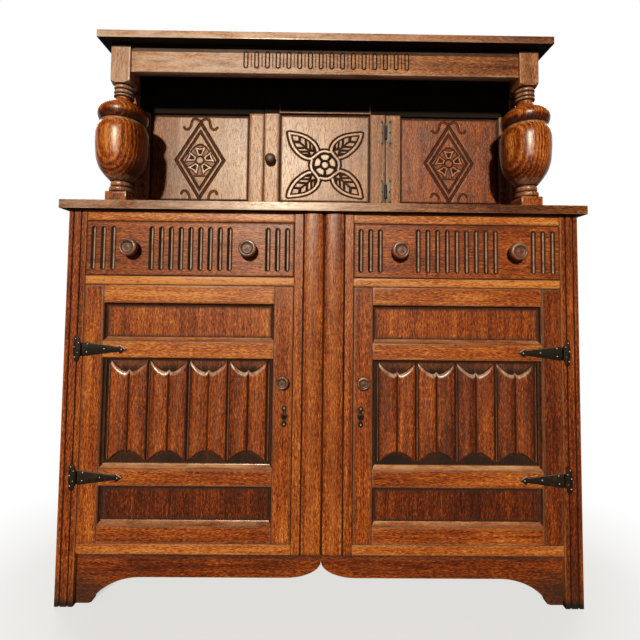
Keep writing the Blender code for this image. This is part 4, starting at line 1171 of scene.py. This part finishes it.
sooty((-upper["opening"], upper["opening"]), (doorHead, high.z), "x", 0, "doorHead", 0.001)
settle("upperFrame", bm, "oak", "carcass", ["upper_frame"], finish=upperOak)


# lozenge panels: two diamond grooves, a five-petalled rose, scrolls above and hooks below
lozenge = {"drop": 0.0062, "outer": (0.0648, 0.1045, 0.0050), "inner": (0.0494, 0.0796, 0.0043), "depth": 0.0026,
           "petal": ((0.0130, 0.0052), (0.0200, 0.0078), (0.0280, 0.0108), (0.0360, 0.0156)),
           "tip": ((0.0350, 0.010), (0.0334, 0.005), (0.0328, 0.0), (0.0334, -0.005), (0.0350, -0.010)),
           "boss": 0.0088, "eye": 0.0125, "foot": -0.0435, "tones": {"left": -0.03, "right": -0.07}}
scrollTop = curve([(0.0, 0.107), (0.0075, 0.1125), (0.0155, 0.1150), (0.0225, 0.1110), (0.0255, 0.1020),
                   (0.0275, 0.0935), (0.0325, 0.0865), (0.0400, 0.0855), (0.0450, 0.0905)], 8)
hookLow = curve([(0.0255, -0.108), (0.0262, -0.0985), (0.0310, -0.0890), (0.0385, -0.0838), (0.0455, -0.0868),
                 (0.0480, -0.0920)], 8)


def petalOutline(turn):
    path = [*lozenge["petal"], *lozenge["tip"], *[(u, -v) for u, v in reversed(lozenge["petal"])]]
    cos, sin = math.cos(turn), math.sin(turn)
    return np.array([(u * cos - v * sin, u * sin + v * cos) for u, v in path])


def diamond(x, z, size):  # below nought inside, above it outside
    return np.abs(x) / size[0] + np.abs(z) / size[1] - 1


def carveLozenge(gridX, gridZ):
    cut = blank(gridX)
    x = gridX - (gridX.min() + gridX.max()) / 2
    z = gridZ - (gridZ.min() + gridZ.max()) / 2 + lozenge["drop"]
    reach = np.hypot(x, z)
    for size in (lozenge["outer"], lozenge["inner"]):
        gap = np.abs(diamond(x, z, size)) / math.hypot(1 / size[0], 1 / size[1]) / size[2]
        grow(cut, "depth", lozenge["depth"] * np.clip(1 - gap, 0, 1))
        grow(cut, "dirt", 0.90 * ramp(-gap, -1.0, -0.68) - 0.20 * ramp(-gap, -0.5, -0.2))
    raised = np.zeros(x.shape)
    for turn in range(5):
        path = petalOutline(math.radians(90 + 72 * turn))
        gap = away(x, z, np.vstack([path, path[:1]]))
        filled = within(x, z, path)
        raised = np.maximum(raised, filled * ramp(-gap, -0.0040, -0.0030))
        groove(cut, filled * ramp(gap, 0.0032, 0.0044), 0.0024, 0.92)
        groove(cut, ~filled * ramp(-gap, -0.0034, -0.0016), 0.0014, 0.8)
    ring = ramp(reach, lozenge["boss"], lozenge["boss"] + 0.001) * ramp(-reach, -0.0132, -0.0118)
    eye = reach < lozenge["eye"]
    cut["dirt"] = np.where(eye, ring, cut["dirt"])
    cut["depth"] = np.where(eye, 0.0022 * ring - 0.0012 * (reach < lozenge["boss"]), cut["depth"])
    inside = diamond(x, z, lozenge["inner"]) < 0
    arch = 0.0432 - 0.9 * x ** 2 / 0.03
    for gap, amount in ((np.abs(z - arch), 0.9), (np.abs(z - lozenge["foot"]), 0.75)):
        groove(cut, inside * ramp(-gap, -0.0030, -0.0012) * amount, 0.0012, 1)
    field = inside & (z < arch) & (z > lozenge["foot"]) & (cut["dirt"] < 0.3) & (raised < 0.3)
    field = field * (reach > lozenge["eye"])
    cut["tone"] = 0.22 * raised - 0.06 * field
    grow(cut, "dirt", 0.16 * field)
    outside = diamond(x, z, lozenge["outer"]) > 0
    for path in (scrollTop, hookLow):
        gap = away(np.abs(x), z, path)
        line = outside * ramp(-gap, -0.0038, -0.0021) * (1 - 0.60 * ramp(-gap, -0.0015, -0.0005))
        groove(cut, line, 0.0018, 0.95)
    grow(cut, "dirt", 0.8 * ramp(-edgeDistance(gridX, gridZ), -0.005, 0))
    # painted glare on the open face and a painted highlight on the raised petals
    cut["wear"] = np.maximum(0.35 * ramp(-cut["dirt"], -0.25, 0), 1.4 * raised)
    # less painted glare on the right panel
    if gridX.mean() > 0:
        cut["wear"] *= 0.35
    else:  # less painted glare and a darker tone beside the column
        cut["wear"] *= 1 - 0.8 * ramp(-x, 0.04, 0.10)
        cut["tone"] -= 0.12 * ramp(-x, 0.04, 0.10)
    return cut


# the left panel takes the paler copy with painted glare, the right panel the plain one
for side, word in sides:
    node = word + "_lozenge_panel"
    carved(word + "LozengePanel", node, "carcass", "oak_panel", carveLozenge, evenGrid(node, 283, 251), "z",
           lozenge["tones"][word], word + "lozenge", None, 60, upperOak if side < 0 else None)
print("upper frame made")


# upper door: frame, moulding and a panel carved with four leaves round a rose
upperDoor = {"stile": 0.0405, "head": 0.0385, "sill": 0.0289}
bm = newShape()
low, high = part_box("upper_door_frame")
left = low.x + upperDoor["stile"]
right = high.x - upperDoor["stile"]
bottom = low.z + upperDoor["sill"]
top = high.z - upperDoor["head"]
# the latch stile's tone is raised as painted glare
bar(bm, (low, high), (low.x, left), (low.z, high.z), "z", 0.18, "upperLatch", 0.001, 0.4, 0.5)
bar(bm, (low, high), (right, high.x), (low.z, high.z), "z", 0.0, "upperHang", 0.001, 0.4, 0.5)
cutAcross(bm, "z", (upper["shadeLow"], upper["shadeLow"] + 0.0008))  # the frieze's shadow is painted across the top
paint(bm, [vert for vert in bm.verts if vert.co.z > upper["shadeLow"] + 0.0004], "dirt", upper["headShadow"])
board(bm, (left, low.y + 0.0002, low.z), (right, high.y, bottom), "x", 0.04, "upperLowRail", 0.0009)
rail = board(bm, (left, low.y + 0.0002, top), (right, high.y, high.z), "x", 0.0, "upperTopRail", 0.0009)
# the top rail's upper part painted dark as the frieze's shadow
paint(bm, [vert for vert in rail if vert.co.z > top + 0.0035], "dirt", upper["headShadow"])
moulding(bm, (left, bottom), (right, top), low.y + 0.0004, upper, 0.0, "upperDoorBead")
settle("upperDoorFrame", bm, "oak", "upper_door", ["upper_door_frame"], finish=upperOak)
knob("upperDoorKnob", "upper_door_knob", "upper_door", -0.3, domed, 0.8)

motif = {"middle": (0.001, 1.0745), "band": 0.0034, "line": 0.0042, "depth": 0.0024, "boss": 0.0086, "soft": 0.0006,
         "wide": 0.06, "low": 0.063, "cells": ((0.0740, 0.0890), (0.0580, 0.0660), (0.0450, 0.0508)),
         "end": 0.0985, "rib": 0.0022, "rootRib": 0.0075, "ribPlace": 0.0030, "tone": 0.03}
leafUpper = curve([(0.0430, -0.0130), (0.0490, -0.0170), (0.0640, -0.0210), (0.0880, -0.0205), (0.1105, -0.0133),
                   (0.1320, 0.0)], 8)
leafLower = curve([(0.1320, 0.0), (0.1110, 0.0148), (0.0920, 0.0240), (0.0704, 0.0273), (0.0534, 0.0248),
                   (0.0406, 0.0170), (0.0367, 0.0025), (0.0349, -0.0145), (0.0280, -0.0260), (0.0163, -0.0342)], 8)
leafInside = np.vstack([leafUpper, leafLower[1:41]])


def past(value, line, soft=motif["soft"]):  # a firm edge, a little softened
    return ramp(value, line - soft, line + soft)


def turnedPlace(x, z, degrees):
    cos, sin = math.cos(math.radians(degrees)), math.sin(math.radians(degrees))
    return x * cos + z * sin, -x * sin + z * cos


def carveLeaves(gridX, gridZ):
    cut = blank(gridX)
    x = gridX - motif["middle"][0]
    z = gridZ - motif["middle"][1]
    spread = ramp(np.hypot(x, z), 0.04, 0.14)
    x = x / (1 + motif["wide"] * spread)
    z = z / (1 - motif["low"] * spread)
    reach = np.hypot(x, z)
    strapGap = np.full(x.shape, 9.0)
    sunk = np.zeros(x.shape)
    for number in range(4):
        u, v = turnedPlace(x, z, 135 - 90 * number)
        gap = np.minimum(away(u, v, leafUpper), away(u, v, leafLower))
        strapGap = np.minimum(strapGap, gap)
        leaf = within(u, v, leafInside)
        out = np.abs(v - motif["ribPlace"] * ramp(-u, -0.115, -0.085))
        root = u - out  # veins leave the midrib at half a right angle
        cells = past(root, motif["end"], 0.0008)
        for start, stop in motif["cells"]:
            rib = motif["rib"] if start > 0.05 else motif["rootRib"]
            cells = np.maximum(cells, past(root, start, 0.0008) * past(-root, -stop, 0.0008) * past(out, rib))
        stub = ramp(u, 0.0440, 0.0456) * ramp(-u, -0.0556, -0.0540) * past((0.0556 - u) * 0.6 - out, 0)
        inner = ramp(gap, motif["band"] + 0.0028, motif["band"] + 0.0038)
        sunk = np.maximum(sunk, leaf * (1 - np.maximum(cells, stub) * inner))
        sunk = np.maximum(sunk, past(-gap, -motif["band"] - motif["line"]) * ~leaf)
    sunk = np.maximum(sunk, ramp(-reach, -0.0325, -0.0312))
    for turn in range(5):
        u, v = turnedPlace(x, z, 90 + 72 * turn)
        side = np.minimum(0.0068 + (u - 0.0144) * 0.66, 0.0118)
        tip = 2.2 * np.abs(v) ** 1.5
        petal = ramp(u, 0.0130, 0.0144) * ramp(-u, tip - 0.0294, tip - 0.0278)
        sunk = sunk * (1 - petal * ramp(side - np.abs(v), -0.0006, 0.0008))
    sunk = sunk * (1 - past(-reach, -motif["boss"])) * (1 - past(-strapGap, -motif["band"]))
    cut["depth"] = motif["depth"] * sunk
    cut["dirt"] = 0.97 * sunk
    grow(cut, "dirt", 0.8 * ramp(-edgeDistance(gridX, gridZ), -0.005, 0))
    raised = ramp(-reach, -0.034, -0.031) + ramp(-strapGap, -motif["band"] - 0.002, -motif["band"])
    cut["wear"] = (0.3 + 0.4 * np.clip(raised, 0, 1)) * (1 - sunk)
    cut["tone"] = -0.9 * np.clip(x, 0, 0.1)
    return cut


carved("leafPanel", "upper_door_panel", "upper_door", "oak_panel", carveLeaves,
       evenGrid("upper_door_panel", 283, 275), "z", motif["tone"], "leafPanel", None, 60, upperOak)


# butterfly hinges of the upper door
butterfly = {"line": 0.16515, "tall": 1.24, "wide": {"frame": 1.22, "door": 1.10},
             "half": ((0.0, 0.62), (0.28, 0.68), (0.48, 0.86), (0.66, 0.97), (0.86, 0.97), (0.99, 0.86),
                      (0.99, 0.70), (0.88, 0.54), (0.86, 0.32), (0.93, 0.14), (0.94, 0.0)),
             "nails": ((0.76, 0.76), (0.66, 0.0), (0.76, -0.76))}
for level in ("upper", "lower"):
    front, back = [corner.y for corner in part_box(level + "_door_leaf")]
    for label, body in (("frame", "carcass"), ("door", "upper_door")):
        node = level + "_" + label + "_leaf"
        low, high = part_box(node)
        middle = (low.z + high.z) / 2
        half = butterfly["tall"] * (high.z - low.z) / 2
        near, far = (butterfly["line"], high.x) if label == "frame" else (high.x, low.x)
        wide = (far - near) * butterfly["wide"][label]
        bm = newShape()
        outline = bothWays([(near + wide * out, half * up) for out, up in butterfly["half"]], middle)
        verts = plate(bm, outline, front, back, 0.0004)
        paint(bm, verts, "wear", 0.55)
        paint(bm, [vert for vert in verts if vert.co.y < front + 0.0001], "wear", 0.24)
        for out, up in butterfly["nails"]:
            nail(bm, near + wide * out, front, middle + half * up, 0.0023, 0)
        if label == "frame":
            place = (butterfly["line"], low.y + 0.0032, middle)
            paint(bm, turned(bm, barrel(0.0040, 0.0185, 0.0178, 0.84), place, 20, node, 0), "wear", 0.03)
        settle(level + label.capitalize() + "Leaf", bm, "iron", body, [node])
print("upper door made")


# floor, world and lamps
floorLook = {"pale": (0.85, 0.85, 0.85), "bounce": (0.11, 0.11, 0.11), "near": 0.62, "shadow": (0.36, 0.72)}
bm = bmesh.new()
bmesh.ops.create_grid(bm, x_segments=8, y_segments=8, size=30)
floorMesh = bpy.data.meshes.new("studioFloor")
bm.to_mesh(floorMesh)
bm.free()
floor = bpy.data.objects.new("studioFloor", floorMesh)
scene.collection.objects.link(floor)
paper = Finish(bpy.data.materials.new("studioPaper"))
place = paper.add("ShaderNodeTexCoord", {}, {}, 3)
seen = paper.openRays(place, 3.0, 5.0)
spread = paper.add("ShaderNodeVectorMath", {"operation": "MULTIPLY"}, {0: place, 1: (0.62, 1, 0)})
far = paper.add("ShaderNodeVectorMath", {"operation": "LENGTH"}, {0: spread}, 1)
share = paper.between(far, *floorLook["shadow"]) * (1 - floorLook["near"]) + floorLook["near"]
glow = paper.add("ShaderNodeEmission", {}, {"Color": (1, 1, 1), "Strength": 1})
paper.feedSurface({"Base Color": paper.mix(seen, floorLook["bounce"], floorLook["pale"]), "Roughness": 0.9})
surface = Value(paper, paper.nodes["Principled BSDF"].outputs[0])
mixed = paper.add("ShaderNodeMixShader", {}, {0: share * seen, 1: surface, 2: glow})
paper.feed(paper.nodes["Material Output"].inputs["Surface"], mixed)
floorMesh.materials.append(paper.owner)

light = {"key": ((-0.115, -1, 0.36), 3.35, 4.5, (1, 0.93, 0.72)), "left": ((-0.8, 0.9, 0.8), 0.9, 25, (1, 1, 1)),
         "right": ((0.8, 0.9, 0.8), 0.7, 25, (1, 1, 1))}
for name, (aim, strength, angle, colour) in light.items():
    lamp = bpy.data.lights.new(name + "Sun", "SUN")
    lamp.energy = strength
    lamp.color = colour
    lamp.angle = math.radians(angle)
    sun = bpy.data.objects.new(name + "Sun", lamp)
    sun.rotation_euler = Vector(aim).to_track_quat("Z", "Y").to_euler()
    scene.collection.objects.link(sun)

world = scene.world or bpy.data.worlds.new("studio")
scene.world = world
air = Finish(world)
seen = air.openRays(air.add("ShaderNodeTexCoord", {}, {}, 0), 0.1, 0.5)
backdrop = air.nodes["Background"]
air.feed(backdrop.inputs["Color"], (1, 1, 1))
air.feed(backdrop.inputs["Strength"], seen * 0.992 + 0.008)
print("studio set")
